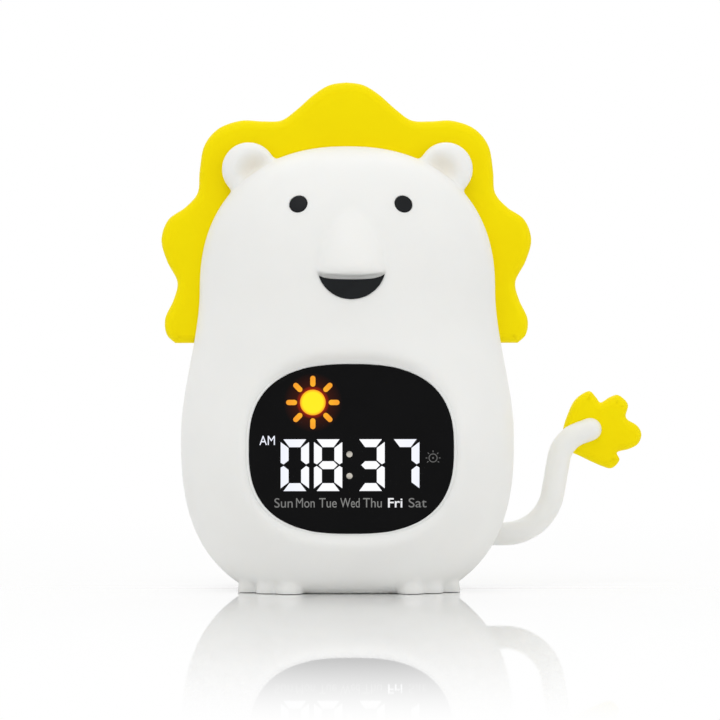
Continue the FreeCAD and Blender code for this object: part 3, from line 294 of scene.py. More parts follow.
def body_rings(inset=0.0, floor=0.0, count=200):
    """Rings of points round the body at each level, in millimetres."""
    rings = []
    outline = rounded_outline(PLAN_POWER, count)
    for level in body_levels(floor, inset):
        x = half_width(level, inset) * outline[:, 0]
        y = half_depth(level, inset) * outline[:, 1]
        rings.append(np.column_stack([x, y, np.full(count, level)]))
    return rings


print("body levels:", len(body_levels(0.0, 0.0)))

# %% [markdown]
# The display sits in a smooth dish of the belly, and the rear panel in another one. A dish could be cut
# with a boolean and then beveled, but the bevel fails on such shallow angles. It is worked out as a
# height instead: the further a point lies outside the window, the further the dish has risen, steeply
# at first and then level, and a soft maximum blends it with the belly as moulded silicone does.

# %% Dishes
LENS_LOW, LENS_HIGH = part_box("display_lens")
LENS_CENTRE = (LENS_LOW + LENS_HIGH) / 2 / MM
LENS_SIZE = (LENS_HIGH - LENS_LOW) / MM
PANEL_LOW, PANEL_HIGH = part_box("rear_panel")
PANEL_CENTRE = (PANEL_LOW + PANEL_HIGH) / 2 / MM
PANEL_SIZE = (PANEL_HIGH - PANEL_LOW) / MM
WINDOW_POWER = 2.6
FRONT_SEAT = 37.2
REAR_SEAT = 38.5
DISH_RIM = 0.3
DISH_SLOPE = 1.35
DISH_REACH = 10.0
DISH_BLEND = 2.6


def soft_max(a, b, soft):
    """The larger of two fields with a rounded crease."""
    blend = np.clip(0.5 + 0.5 * (a - b) / soft, 0, 1)
    return b + (a - b) * blend + soft * blend * (1 - blend)


def window_distance(x, z, centre, wide, tall):
    """Roughly how far a point lies outside a window's rounded outline, in millimetres."""
    u = np.abs(x - centre.x) / (wide / 2)
    v = np.abs(z - centre.z) / (tall / 2)
    return ((u ** WINDOW_POWER + v ** WINDOW_POWER) ** (1 / WINDOW_POWER) - 1) * min(wide, tall) / 2


def dish_rise(distance):
    """How high the dish stands over its floor: steep at the window and level at its reach."""
    away = np.maximum(distance - DISH_RIM, 0)
    near = np.minimum(away, DISH_REACH)
    return DISH_SLOPE * near * (1 - near / (2 * DISH_REACH)) + (away - near)


print("dish depth at its reach:", dish_rise(DISH_REACH), "mm")

# %% [markdown]
# The snout is a narrow ridge that starts between the eyes, widens on the way down and ends in a lip
# over the mouth. It could be a separate blob that is joined on. As a height over the face it has no
# seam at all at its top, and its sides can be made crisp or soft with one power.

# %% Snout
SNOUT_TOP = 120.5
SNOUT_FOOT = 99.6
SNOUT_HALF = 10.7
SNOUT_PROUD = 6.3
SNOUT_LIP = 2.6
SNOUT_THINNEST = 0.05
SNOUT_WIDEN = 0.6
SNOUT_SIDES = 0.6
SNOUT_RISE = 1.1


def snout_bump(x, z):
    """How far the muzzle stands out of the face, in millimetres."""
    along = np.clip((SNOUT_TOP - z) / (SNOUT_TOP - SNOUT_FOOT), 0, 1)
    half = SNOUT_HALF * np.maximum(np.sin(along * math.pi / 2), SNOUT_THINNEST) ** SNOUT_WIDEN
    across = np.clip(1 - (np.abs(x) / half) ** 2, 0, 1) ** SNOUT_SIDES
    rise = SNOUT_PROUD * np.sin(along * math.pi / 2) ** SNOUT_RISE
    foot = np.clip((z - SNOUT_FOOT) / SNOUT_LIP, 0, 1)
    return rise * across * np.sqrt(1 - (1 - foot) ** 2)


print("snout stands out by", SNOUT_PROUD, "mm")

# %% [markdown]
# Now the heights are put to use: each ring of the body has its points pushed in by the dishes and
# pulled out by the snout. A displace modifier could do the same from a painted picture. Plain
# arithmetic on the rings needs no picture and gives the same result at any density. The hollow inside
# uses the dishes again, one wall deeper.

# %% Shaped body
def press_dishes(ring, wall):
    """Press both dishes into a ring that lies a wall's thickness under the skin; gives x, y and z."""
    x, y, z = ring[:, 0], ring[:, 1].copy(), ring[:, 2]
    front = y < 0
    distance = window_distance(x, z, LENS_CENTRE, LENS_SIZE.x, LENS_SIZE.z) - wall
    seat = FRONT_SEAT - wall + dish_rise(distance)
    y = np.where(front, soft_max(y, -seat, DISH_BLEND), y)
    distance = window_distance(x, z, PANEL_CENTRE, PANEL_SIZE.x, PANEL_SIZE.z) - wall
    seat = REAR_SEAT - wall + dish_rise(distance)
    y = np.where(~front, -soft_max(-y, -seat, DISH_BLEND), y)
    return x, y, z


def shaped_rings():
    """The body's rings with both dishes pressed in and the snout pulled out."""
    rings = []
    for ring in body_rings():
        x, y, z = press_dishes(ring, 0.0)
        y = np.where(ring[:, 1] < 0, y - snout_bump(x, z), y)
        rings.append(np.column_stack([x, y, z]) * MM)
    return rings


front_most = min(ring[:, 1].min() for ring in shaped_rings())
print("snout's tip at y =", round(front_most / MM, 2), "mm")

# %% [markdown]
# Each ear is a thick rounded disc with a shallow hollow that leans towards the head. A scaled ball with
# a smaller ball cut out would leave a hard rim. The disc is made from rings whose front points are
# pressed in by a smooth bowl, so the rim stays round like a moulded one.

# %% Ears
EAR_CENTRE = Vector((31.1, -0.7, 132.6))
EAR_HALF = Vector((8.5, 4.5, 8.5))
EAR_HOLLOW = 6.5
EAR_HOLLOW_DEEP = 3.1
EAR_LEAN = Vector((1.9, 0.0, 0.5))
EAR_POWER = 2.9
EAR_HOLLOW_FALL = 1.2


def rounded_blob(centre, half, power, rings=40, count=64):
    """A closed rounded form whose Y direction is flattened; points in millimetres."""
    loops = []
    for step in range(1, rings):
        lean = -math.pi / 2 + math.pi * step / rings
        reach = math.copysign(abs(math.cos(lean)) ** (2 / power), math.cos(lean))
        rise = math.copysign(abs(math.sin(lean)) ** (2 / power), math.sin(lean))
        loop = []
        for index in range(count):
            turn = 2 * math.pi * index / count
            loop.append(np.array([
                centre.x + half.x * reach * math.cos(turn),
                centre.y + half.y * rise,
                centre.z + half.z * reach * math.sin(turn),
            ]))
        loops.append(np.array(loop))
    return loops


def make_ear(side):
    """One ear with its hollow pressed in from the front."""
    centre = Vector((side * EAR_CENTRE.x, EAR_CENTRE.y, EAR_CENTRE.z))
    loops = rounded_blob(centre, EAR_HALF, EAR_POWER)
    middle = Vector((centre.x - side * EAR_LEAN.x, 0, centre.z - EAR_LEAN.z))
    for loop in loops:
        away = np.hypot(loop[:, 0] - middle.x, loop[:, 2] - middle.z) / EAR_HOLLOW
        press = EAR_HOLLOW_DEEP * np.clip(1 - away ** 2, 0, 1) ** EAR_HOLLOW_FALL
        front = loop[:, 1] < centre.y
        loop[:, 1] += np.where(front, press, 0)
    return capped_tube("ear", [loop * MM for loop in loops])


print("width of an ear:", 2 * EAR_HALF.x, "mm")

# %% [markdown]
# Three short rounded toes show on each side of the base. They could be modelled as part of the body's
# rings, but they are narrower than the rings are apart. Small rounded columns, sunk into the body and
# cut off flat later, are simpler and can be moved one by one.

# %% Toes
TOES = ((19.0, 4.0), (25.7, 3.6), (31.6, 3.4))
TOE_TALL = 5.6
TOE_LEVEL = 0.6
TOE_POWER = 2.4
TOE_SUNK = 0.75
TOE_LONG = 1.15
BLOCK_HALF = 90
BLOCK_TALL = 30


def make_toe(side, x, radius):
    """One toe, a soft column sunk into the body and cut off later at the floor."""
    y = -surface_y(x, radius) + radius * TOE_SUNK
    centre = Vector((side * x, y, TOE_LEVEL))
    half = Vector((radius, radius * TOE_LONG, TOE_TALL - TOE_LEVEL))
    loops = rounded_blob(centre, half, TOE_POWER, rings=24, count=40)
    return capped_tube("toe", [loop * MM for loop in loops])


def cut_at_floor(piece, level):
    """Cut a piece off flat at a level, in millimetres."""
    corners = [(BLOCK_HALF * x, BLOCK_HALF * y) for x, y in ((-1, -1), (1, -1), (1, 1), (-1, 1))]
    rings = [[Vector((x, y, z)) * MM for x, y in corners] for z in (level - BLOCK_TALL, level)]
    return combine(piece, capped_tube("floor_block", rings), "DIFFERENCE")


print("toes on each side:", len(TOES))

# %% [markdown]
# In the real mould the ears and toes run into the body with small fillets. A bevel on the seam of a
# boolean tends to break, so the joined form is remeshed into fine even cells and smoothed a little.
# That rounds every inner corner by about the same small radius.

# %% One silicone skin
VOXEL = 0.8 * MM
SKIN_FOOT = 0.15


def make_skin_blank():
    """The body, ears and toes in one closed skin."""
    skin = capped_tube("silicone_body", shaped_rings())
    for side in (-1, 1):
        combine(skin, make_ear(side), "UNION")
        for x, radius in TOES:
            combine(skin, make_toe(side, x, radius), "UNION")
    remesh = skin.modifiers.new("remesh", "REMESH")
    remesh.mode = "VOXEL"
    remesh.voxel_size = VOXEL
    remesh.use_smooth_shade = True
    smooth = skin.modifiers.new("soften", "SMOOTH")
    smooth.factor = 0.5
    smooth.iterations = 8
    apply_modifiers(skin)
    return cut_at_floor(skin, SKIN_FOOT)


skin = make_skin_blank()
print("skin faces:", len(skin.data.polygons))

# %% [markdown]
# The skin gets several openings. Each is the space of another piece with a small gap round it, so the
# cutters are made from that piece's own size: a prism for the windows and the mouth, a rod for the tail
# and the eyes. Cutting them by hand would leave gaps of uneven width.

# %% Cutters
FIT_GAP = 0.15


def window_outline(wide, tall, power, count=160):
    """Points round a window's outline in the XZ plane, in millimetres."""
    return [(u * wide / 2, v * tall / 2) for u, v in rounded_outline(power, count)]


def prism_along_y(name, outline, centre, near, far):
    """A closed prism whose outline lies in XZ, from one Y to another, in millimetres."""
    rings = []
    for y in (near, far):
        rings.append([Vector((centre[0] + u, y, centre[1] + v)) * MM for u, v in outline])
    return capped_tube(name, rings)


def round_rod(name, diameter, start, end, count=64):
    """A closed round rod between two points, in millimetres."""
    axis = (end - start).normalized()
    side = axis.orthogonal().normalized()
    other = axis.cross(side)
    rings = []
    for point in (start, end):
        ring = []
        for index in range(count):
            turn = 2 * math.pi * index / count
            reach = side * math.cos(turn) + other * math.sin(turn)
            ring.append((point + reach * diameter / 2) * MM)
        rings.append(ring)
    return capped_tube(name, rings)


print("cutters ready")

# %% [markdown]
# The real skin is a thin glove over the housing. A solidify modifier could give it a wall, but it folds
# over itself at the sharp turns of the ears. A smaller copy of the body's own form is taken out
# instead, which leaves a wall of one thickness and solid ears and toes.

# %% Hollow of the skin
SKIN_WALL = 2.8


def make_cavity():
    """The hollow inside the silicone: the body's form again, smaller by the wall."""
    rings = []
    for ring in body_rings(SKIN_WALL, SKIN_WALL):
        rings.append(np.column_stack(press_dishes(ring, SKIN_WALL)) * MM)
    return capped_tube("cavity", rings)


def inset_body(inset):
    """The plain body form, inset, as a closed mesh."""
    return capped_tube("inset_body", [ring * MM for ring in body_rings(inset, 0.0)])


print("wall of the skin:", SKIN_WALL, "mm")

# %% [markdown]
# The mane lies in a groove that runs round the head. The groove is a flat slab of the mane's thickness,
# less the head's form a little under its surface. It could be drawn as an arch, but taking the head
# away from a slab makes the groove's floor follow the head exactly.

# %% Groove for the mane
MANE_LOW, MANE_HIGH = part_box("mane")
MANE_FRONT = MANE_LOW.y / MM
MANE_BACK = MANE_HIGH.y / MM
MANE_FOOT = MANE_LOW.z / MM - 1.5
MANE_SEAT = 1.3
GROOVE_HALF = 80
GROOVE_TALL = 90


def make_mane_groove():
    """A slab round the head, less the inset body: what the groove takes out."""
    foot = [(-GROOVE_HALF, 0), (GROOVE_HALF, 0)]
    corners = foot + [(GROOVE_HALF, GROOVE_TALL), (-GROOVE_HALF, GROOVE_TALL)]
    near = MANE_FRONT - FIT_GAP
    far = MANE_BACK + FIT_GAP
    slab = prism_along_y("groove", corners, (0, MANE_FOOT - FIT_GAP), near, far)
    return combine(slab, inset_body(MANE_SEAT + FIT_GAP), "DIFFERENCE")


print("thickness of the mane:", round(MANE_BACK - MANE_FRONT, 1), "mm")

# %% [markdown]
# The eyes are small round inlays that sit square on the curved face. Their seats could point straight
# forward, but then one side would sink in more than the other. The slope of the face on both sides of
# the eye gives the direction in which it looks out.

# %% Seats of the eyes
EYE_X = 16.4
EYE_LEVEL = 121.9
EYE_SIZE = 5.6
INLAY_DEEP = 1.4
INLAY_PROUD = 0.2


def eye_place(side):
    """Where an eye sits on the face and the way it looks out, in millimetres."""
    x = side * EYE_X
    slope_x = (surface_y(x + 1, EYE_LEVEL) - surface_y(x - 1, EYE_LEVEL)) / 2
    slope_z = (surface_y(x, EYE_LEVEL + 1) - surface_y(x, EYE_LEVEL - 1)) / 2
    outward = Vector((-slope_x, -1, -slope_z)).normalized()
    return Vector((x, -surface_y(x, EYE_LEVEL), EYE_LEVEL)), outward


print("an eye faces", [round(value, 2) for value in eye_place(1)[1]])

# %% [markdown]
# The mouth is a wide smile: a shallow arc above and a deep one below, in a shallow seat under the
# snout. A curve object could be drawn over the photograph. Two circular arcs through three points each
# are enough for the shape, and they change cleanly when the smile is made wider.

# %% Seat of the mouth
MOUTH_HALF = 10.55
MOUTH_TOP = 100.9
MOUTH_SAG = 1.15
MOUTH_DEEP = 8.6
LOWER_STEPS = 48
UPPER_STEPS = 24
MOUTH_FACE = -(surface_y(0, MOUTH_TOP - MOUTH_DEEP / 2) + INLAY_PROUD)
MOUTH_BACK = MOUTH_FACE + INLAY_PROUD + INLAY_DEEP


def arc_through(left, low, right, steps):
    """Points of the circular arc from left to right through a low middle point."""
    half = (right[0] - left[0]) / 2
    drop = left[1] - low
    radius = (half * half + drop * drop) / (2 * drop)
    centre = low + radius
    sweep = math.asin(min(1.0, half / radius))
    if drop > half:
        sweep = math.pi - sweep
    points = []
    for step in range(steps + 1):
        turn = -sweep + 2 * sweep * step / steps
        points.append((radius * math.sin(turn), centre - radius * math.cos(turn)))
    return points


def mouth_outline(grow):
    """A smile: a shallow upper arc and a deep lower one, in millimetres."""
    left = (-MOUTH_HALF - grow, MOUTH_TOP + grow)
    right = (MOUTH_HALF + grow, MOUTH_TOP + grow)
    lower = arc_through(left, MOUTH_TOP - MOUTH_DEEP - grow, right, LOWER_STEPS)
    upper = arc_through(left, MOUTH_TOP - MOUTH_SAG + grow, right, UPPER_STEPS)
    return lower + upper[-2:0:-1]


print("points round the mouth:", len(mouth_outline(0.0)))

# %% [markdown]
# With all the cutters ready, the skin is opened: the hollow, both windows, the hole in the base, the
# tail's hole, the groove and the seats. One boolean after the other is slower than one with everything
# joined, but each step can be looked at alone. The skin then takes the place of the plain one of the
# solid model.

# %% Open the skin
TAIL_SIZE = 7.4
TAIL_LEVEL = 16.5
TAIL_BACK = 20.0
BASE_SIZE = (48.0, 38.0)
# From where to where each cutter runs, in millimetres.
BASE_CUT = (-2, 5)
FRONT_CUT = (-60, -20)
REAR_CUT = (20, 60)
TAIL_CUT_START = 31
TAIL_CUT_LONG = 40
MOUTH_CUT = 20
EYE_CUT = 12


def open_skin(skin):
    """Take every opening out of the silicone."""
    combine(skin, make_cavity(), "DIFFERENCE")
    for size, centre, near, far in (
        (LENS_SIZE, LENS_CENTRE, *FRONT_CUT),
        (PANEL_SIZE, PANEL_CENTRE, *REAR_CUT),
    ):
        outline = window_outline(size.x + 2 * FIT_GAP, size.z + 2 * FIT_GAP, WINDOW_POWER)
        window = prism_along_y("window", outline, (centre.x, centre.z), near, far)
        combine(skin, window, "DIFFERENCE")
    base = window_outline(BASE_SIZE[0], BASE_SIZE[1], PLAN_POWER)
    rings = [[Vector((u, v, z)) * MM for u, v in base] for z in BASE_CUT]
    combine(skin, capped_tube("base_hole", rings), "DIFFERENCE")
    start = Vector((TAIL_CUT_START, TAIL_BACK, TAIL_LEVEL))
    end = start + Vector((TAIL_CUT_LONG, 0, 0))
    tail_hole = round_rod("tail_hole", TAIL_SIZE + 2 * FIT_GAP, start, end)
    combine(skin, tail_hole, "DIFFERENCE")
    combine(skin, make_mane_groove(), "DIFFERENCE")
    near = MOUTH_BACK - MOUTH_CUT
    mouth = prism_along_y("mouth_seat", mouth_outline(FIT_GAP), (0, 0), near, MOUTH_BACK)
    combine(skin, mouth, "DIFFERENCE")
    for side in (-1, 1):
        place, outward = eye_place(side)
        start = place - outward * INLAY_DEEP
        seat = round_rod("eye_seat", EYE_SIZE + 2 * FIT_GAP, start, start + outward * EYE_CUT)
        combine(skin, seat, "DIFFERENCE")
    smooth_by_angle(skin)
    return skin


open_skin(skin)
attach(skin, "root")
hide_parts("body_skin")
print("open skin faces:", len(skin.data.polygons))

# %% [markdown]
# The mane and the tuft are thick flat sheets of silicone with evenly rounded edges. An extruded mesh
# with a bevel modifier would pinch in the tight hollows of the outline. A filled 2D curve has its own
# bevel, which rounds both rims and keeps them even in every hollow and on every tip. The outline is a
# smooth curve through a few listed points.

# %% Soft sheets
def smooth_loop(points, steps, closed):
    """A Catmull-Rom curve through points, sampled evenly between them."""
    count = len(points)
    result = []
    spans = count if closed else count - 1
    for index in range(spans):
        picks = []
        for offset in (-1, 0, 1, 2):
            place = index + offset
            place = place % count if closed else min(max(place, 0), count - 1)
            picks.append(np.array(points[place], dtype=float))
        for step in range(steps):
            s = step / steps
            a, b, c, d = picks
            bend = (2 * a - 5 * b + 4 * c - d) * s ** 2
            twist = (3 * b - a - 3 * c + d) * s ** 3
            result.append(tuple((2 * b + (c - a) * s + bend + twist) / 2))
    if not closed:
        result.append(tuple(points[-1]))
    return result


def curve_mesh(name, curve):
    """The mesh that a curve or a text makes; the object that carried it is removed."""
    holder = place_in_scene(name, curve)
    graph = bpy.context.evaluated_depsgraph_get()
    mesh = bpy.data.meshes.new_from_object(holder.evaluated_get(graph))
    remove(holder)
    return mesh


def weld_and_face_out(mesh, reach):
    """Join points closer than a reach in millimetres and turn every face outwards."""
    work = bmesh.new()
    work.from_mesh(mesh)
    bmesh.ops.remove_doubles(work, verts=work.verts, dist=reach * MM)
    bmesh.ops.recalc_face_normals(work, faces=work.faces)
    work.to_mesh(mesh)
    work.free()


def soft_sheet(name, outline, middle_y, thick, rounding):
    """A flat sheet in XZ with rounded edges, from an outline in millimetres."""
    curve = bpy.data.curves.new(name, "CURVE")
    curve.dimensions = "2D"
    curve.fill_mode = "BOTH"
    curve.extrude = (thick / 2 - rounding) * MM
    curve.bevel_depth = rounding * MM
    curve.bevel_resolution = 6
    curve.offset = -rounding * MM
    spline = curve.splines.new("POLY")
    spline.points.add(len(outline) - 1)
    for point, (u, v) in zip(spline.points, outline):
        point.co = (u * MM, v * MM, 0, 1)
    spline.use_cyclic_u = True
    mesh = curve_mesh(name, curve)
    for vertex in mesh.vertices:
        x, z, y = vertex.co
        vertex.co = (x, -y + middle_y * MM, z)
    weld_and_face_out(mesh, 0.002)
    return place_in_scene(name, mesh)


print("sheet helpers ready")

# %% [markdown]
# The mane has a low peak over the crown and three lobes on each side. Half of the outline is drawn and
# mirrored, since the real one is symmetrical. The head's form is then taken out of the sheet, so that
# its inner edge lies in the groove instead of ending beside it.

# %% Mane
MANE_EDGE = [
    (0.0, 160.0), (5.2, 159.2), (10.2, 156.2), (15.9, 151.2), (20.6, 148.0),
    (26.5, 147.7), (33.4, 147.9), (40.4, 145.4), (44.9, 140.0), (46.4, 132.0),
    (47.0, 125.2), (50.8, 120.6), (56.3, 116.6), (58.5, 110.2), (56.7, 103.4),
    (53.5, 97.0), (54.6, 91.4), (57.3, 85.4), (56.9, 80.4), (54.2, 77.6),
]
MANE_ROUND = 2.9


def make_mane():
    """The scalloped sheet, cut to the head it wraps."""
    right = smooth_loop(MANE_EDGE, 10, False)
    left = [(-x, z) for x, z in right[:0:-1]]
    foot = [(40.0, MANE_FOOT), (-40.0, MANE_FOOT)]
    outline = left + right + foot
    middle = (MANE_FRONT + MANE_BACK) / 2
    mane = soft_sheet("scalloped_mane", outline, middle, MANE_BACK - MANE_FRONT, MANE_ROUND)
    return combine(mane, inset_body(MANE_SEAT), "DIFFERENCE")


mane = make_mane()
smooth_by_angle(mane, 40)
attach(mane, "root")
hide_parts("mane")
print("mane faces:", len(mane.data.polygons))

# %% [markdown]
# The eyes are dark inlays with a slightly crowned face and a soft edge, so that a thin shadow line
# shows round each. A flattened ball would bulge too much, and a plain cylinder would look like a hole.
# Half a section, turned round the axis, gives the flat crown and the small edge round exactly.

# %% Eyes
INLAY_EDGE = 0.35
EYE_RISE = 0.1
EYE_CROWN = 0.15
EDGE_STEPS = 6


def disc_profile(half, thick, crown):
    """Half a section of a crowned disc, as (reach, rise) steps from its foot to near its middle."""
    profile = [(half, 0.0), (half, thick - INLAY_EDGE)]
    flat = half - INLAY_EDGE
    for step in range(1, EDGE_STEPS + 1):
        turn = math.pi / 2 * step / EDGE_STEPS
        rise = thick - INLAY_EDGE + INLAY_EDGE * math.sin(turn)
        profile.append((flat + INLAY_EDGE * math.cos(turn), rise))
    for step in range(1, EDGE_STEPS):
        share = step / EDGE_STEPS
        profile.append((flat * (1 - share), thick + crown * (1 - (1 - share) ** 2)))
    return profile


def crowned_disc(name, diameter, base, outward, thick, crown, count=64):
    """A round inlay with a soft edge and a little crown, in millimetres."""
    side = outward.orthogonal().normalized()
    other = outward.cross(side)
    rings = []
    for reach, rise in disc_profile(diameter / 2, thick, crown):
        ring = []
        for index in range(count):
            turn = 2 * math.pi * index / count
            spoke = side * math.cos(turn) + other * math.sin(turn)
            ring.append((base + outward * rise + spoke * reach) * MM)
        rings.append(ring)
    return capped_tube(name, rings)


for side, name in ((-1, "eye_left"), (1, "eye_right")):
    place, outward = eye_place(side)
    base = place - outward * INLAY_DEEP
    thick = INLAY_DEEP + EYE_RISE
    eye = crowned_disc("inlay_" + name, EYE_SIZE, base, outward, thick, EYE_CROWN)
    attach(eye, "root")
    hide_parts(name)
print("eyes made")

# %% [markdown]
# The mouth insert fills its seat with the same outline and a flat face, a little proud of the skin. It
# could be crowned as the eyes are, but the photograph shows one even dark tone. A small bevel modifier
# gives the moulded edge, because this outline has sharp corners that a turned section can't follow.

# %% Mouth
MOUTH_EDGE = 0.25
mouth = prism_along_y("inlay_mouth", mouth_outline(0.0), (0, 0), MOUTH_FACE, MOUTH_BACK)
edge = mouth.modifiers.new("soft_edge", "BEVEL")
edge.width = MOUTH_EDGE * MM
edge.segments = 3
edge.limit_method = "ANGLE"
apply_modifiers(mouth)
smooth_by_angle(mouth, 40)
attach(mouth, "root")
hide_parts("mouth_insert")
print("inlays made")

# %% [markdown]
# The tail leaves the side of the body level, bends up, leans outwards and hooks over at its end. It
# could be a Bezier curve with handles. Straight runs and circular arcs are used because the solid is
# made of the same ones, and the two then lie in the same place.

# %% Route of the tail
TAIL_START = 27.0
TAIL_BEND_X = 50.8
TAIL_BEND = 15.5
TAIL_LEAN = math.radians(80)
TAIL_RISE = 11.4
TAIL_HOOK = 10.5
TAIL_HOOK_END = math.radians(20)
TAIL_END_RUN = 3.4
BEND_STEPS = 24
HOOK_STEPS = 16


def straight_run(start, turn, length, steps):
    """Points along a straight stretch that leaves a point at an angle, without the first."""
    runs = [length * step / steps for step in range(1, steps + 1)]
    return [(start[0] + run * math.cos(turn), start[1] + run * math.sin(turn)) for run in runs]


def tail_points():
    """The tail's middle line as (x, z) points, in millimetres."""
    level_run = TAIL_BEND_X - TAIL_START
    points = [(TAIL_START, TAIL_LEVEL)] + straight_run((TAIL_START, TAIL_LEVEL), 0.0, level_run, 10)
    for step in range(1, BEND_STEPS + 1):
        turn = TAIL_LEAN * step / BEND_STEPS
        rise = TAIL_BEND * (1 - math.cos(turn))
        points.append((TAIL_BEND_X + TAIL_BEND * math.sin(turn), TAIL_LEVEL + rise))
    points += straight_run(points[-1], TAIL_LEAN, TAIL_RISE, 7)
    centre_x = points[-1][0] + TAIL_HOOK * math.sin(TAIL_LEAN)
    centre_z = points[-1][1] - TAIL_HOOK * math.cos(TAIL_LEAN)
    for step in range(1, HOOK_STEPS + 1):
        turn = TAIL_LEAN - (TAIL_LEAN - TAIL_HOOK_END) * step / HOOK_STEPS
        points.append((centre_x - TAIL_HOOK * math.sin(turn), centre_z + TAIL_HOOK * math.cos(turn)))
    return points + straight_run(points[-1], TAIL_HOOK_END, TAIL_END_RUN, 3)


print("points along the tail:", len(tail_points()))

# %% [markdown]
# The tail itself is one round silicone rod with a domed end. A curve with a round bevel would give the
# rod, but its end would be flat. Rings set square to the route, and a few smaller ones past its end,
# make the dome part of the same closed skin.

# %% Tail
# A little over the eight rings of the end's dome, so that its last ring keeps a small cap.
DOME_STEPS = 8.4


def tube_along(name, path, radius, count=40):
    """A round tube along (x, z) points at the tail's depth, closed by a dome at its end."""
    spots = [Vector((x, TAIL_BACK, z)) for x, z in path]
    rings = []
    across = Vector((0, 1, 0))
    for index, spot in enumerate(spots):
        before = spots[max(index - 1, 0)]
        after = spots[min(index + 1, len(spots) - 1)]
        along = (after - before).normalized()
        side = along.cross(across).normalized()
        rings.append((spot, side, radius))
    for step in range(1, 9):
        turn = math.pi / 2 * step / DOME_STEPS
        rings.append((spot + along * radius * math.sin(turn), side, radius * math.cos(turn)))
    loops = []
    for spot, side, reach in rings:
        loop = []
        for index in range(count):
            turn = 2 * math.pi * index / count
            loop.append((spot + (side * math.cos(turn) + across * math.sin(turn)) * reach) * MM)
        loops.append(loop)
    return capped_tube(name, loops)


tail = tube_along("silicone_tail", tail_points(), TAIL_SIZE / 2)
smooth_by_angle(tail)
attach(tail, "root")
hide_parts("tail_stem")
print("tail faces:", len(tail.data.polygons))

# %% [markdown]
# The tuft is a leaf-shaped sheet with five lobes, pushed over the end of the tail. It is made as the
# mane is, so that both have the same thickness of edge. The tail with a small gap is taken out of it,
# as the hole of the real one would be.

# %% Tuft
TUFT_LOW, TUFT_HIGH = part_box("tail_tuft")
TUFT_EDGE = [
    (67.4, 50.4), (69.2, 56.4), (71.5, 60.5), (75.6, 63.0), (77.8, 61.1), (79.4, 59.4), (82.4, 61.1),
    (85.1, 61.7), (88.0, 58.8), (87.4, 54.6), (91.0, 52.0), (92.3, 49.2), (91.2, 46.2), (88.4, 44.6),
    (84.6, 43.5), (85.3, 41.0), (82.9, 38.5), (79.5, 39.2), (72.8, 42.3), (68.4, 44.8),
]
TUFT_SHIFT = (2.2, -1.2)
TUFT_ROUND = 2.6
tuft_outline = [(x + TUFT_SHIFT[0], z + TUFT_SHIFT[1]) for x, z in smooth_loop(TUFT_EDGE, 8, True)]
tuft_middle = (TUFT_LOW.y + TUFT_HIGH.y) / 2 / MM
tuft_thick = (TUFT_HIGH.y - TUFT_LOW.y) / MM
tuft = soft_sheet("tail_tuft_leaf", tuft_outline, tuft_middle, tuft_thick, TUFT_ROUND)
combine(tuft, tube_along("tail_seat", tail_points(), TAIL_SIZE / 2 + FIT_GAP), "DIFFERENCE")
smooth_by_angle(tuft)
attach(tuft, "root")
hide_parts("tail_tuft")
print("tail and tuft made")

# %% [markdown]
# The display lens is a thick dark sheet with a rounded front edge, set deep in its dish. The solid's
# own lens could be used with a bevel modifier, but its outline is coarser and the highlight along the
# edge would break up. The edge round is part of the rings here, so it stays even.

# %% Lens
LENS_FACE = LENS_LOW.y / MM
LENS_BACK = LENS_HIGH.y / MM
LENS_EDGE = 0.7
FACE_RINGS = (1.6, 6.0)
LENS_STEPS = 8
LENS_POINTS = 240


def make_lens():
    """The lens with a rounded front edge."""
    rings = []
    profile = [(0.0, LENS_BACK), (0.0, LENS_FACE + LENS_EDGE)]
    for step in range(1, LENS_STEPS + 1):
        turn = math.pi / 2 * step / LENS_STEPS
        profile.append((LENS_EDGE * (1 - math.cos(turn)), LENS_FACE + LENS_EDGE * (1 - math.sin(turn))))
    for inset in FACE_RINGS:
        profile.append((LENS_EDGE + inset, LENS_FACE))
    for inset, y in profile:
        wide, tall = LENS_SIZE.x - 2 * inset, LENS_SIZE.z - 2 * inset
        outline = window_outline(wide, tall, WINDOW_POWER, LENS_POINTS)
        rings.append([Vector((LENS_CENTRE.x + u, y, LENS_CENTRE.z + v)) * MM for u, v in outline])
    return capped_tube("display_glass", rings)


lens = make_lens()
smooth_by_angle(lens)
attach(lens, "root")
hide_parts("display_lens")
print("lens faces:", len(lens.data.polygons))

# %% [markdown]
# The silicone ends in a thin bead that hugs the lens and hides the gap. It could be part of the skin,
# but the fine cells of the skin are still too large for so small a round. A thin ring of its own, half
# sunk between skin and lens, draws the fine pale line that shows round the window.

# %% Lip round the lens
LIP_RADIUS = 0.5
LIP_BACK = 0.35


def make_lip():
    """The silicone's thin bead that hugs the lens all round."""
    wide, tall = LENS_SIZE.x + LIP_RADIUS, LENS_SIZE.z + LIP_RADIUS
    outline = window_outline(wide, tall, WINDOW_POWER, LENS_POINTS)
    count = len(outline)
    sides = 12
    vertices = []
    for index, (u, v) in enumerate(outline):
        before, after = outline[index - 1], outline[(index + 1) % count]
        out = Vector((after[1] - before[1], 0, before[0] - after[0])).normalized()
        middle = Vector((LENS_CENTRE.x + u, LENS_FACE + LIP_BACK, LENS_CENTRE.z + v))
        for step in range(sides):
            turn = 2 * math.pi * step / sides
            reach = out * math.cos(turn) + Vector((0, 1, 0)) * math.sin(turn)
            vertices.append((middle + reach * LIP_RADIUS) * MM)
    faces = ring_faces(count, sides)
    last = (count - 1) * sides
    for step in range(sides):
        after = (step + 1) % sides
        faces.append((last + step, last + after, after, step))
    return new_piece("lens_lip", vertices, faces)


lip = make_lip()
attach(lip, "root")
print("lip faces:", len(lip.data.polygons))

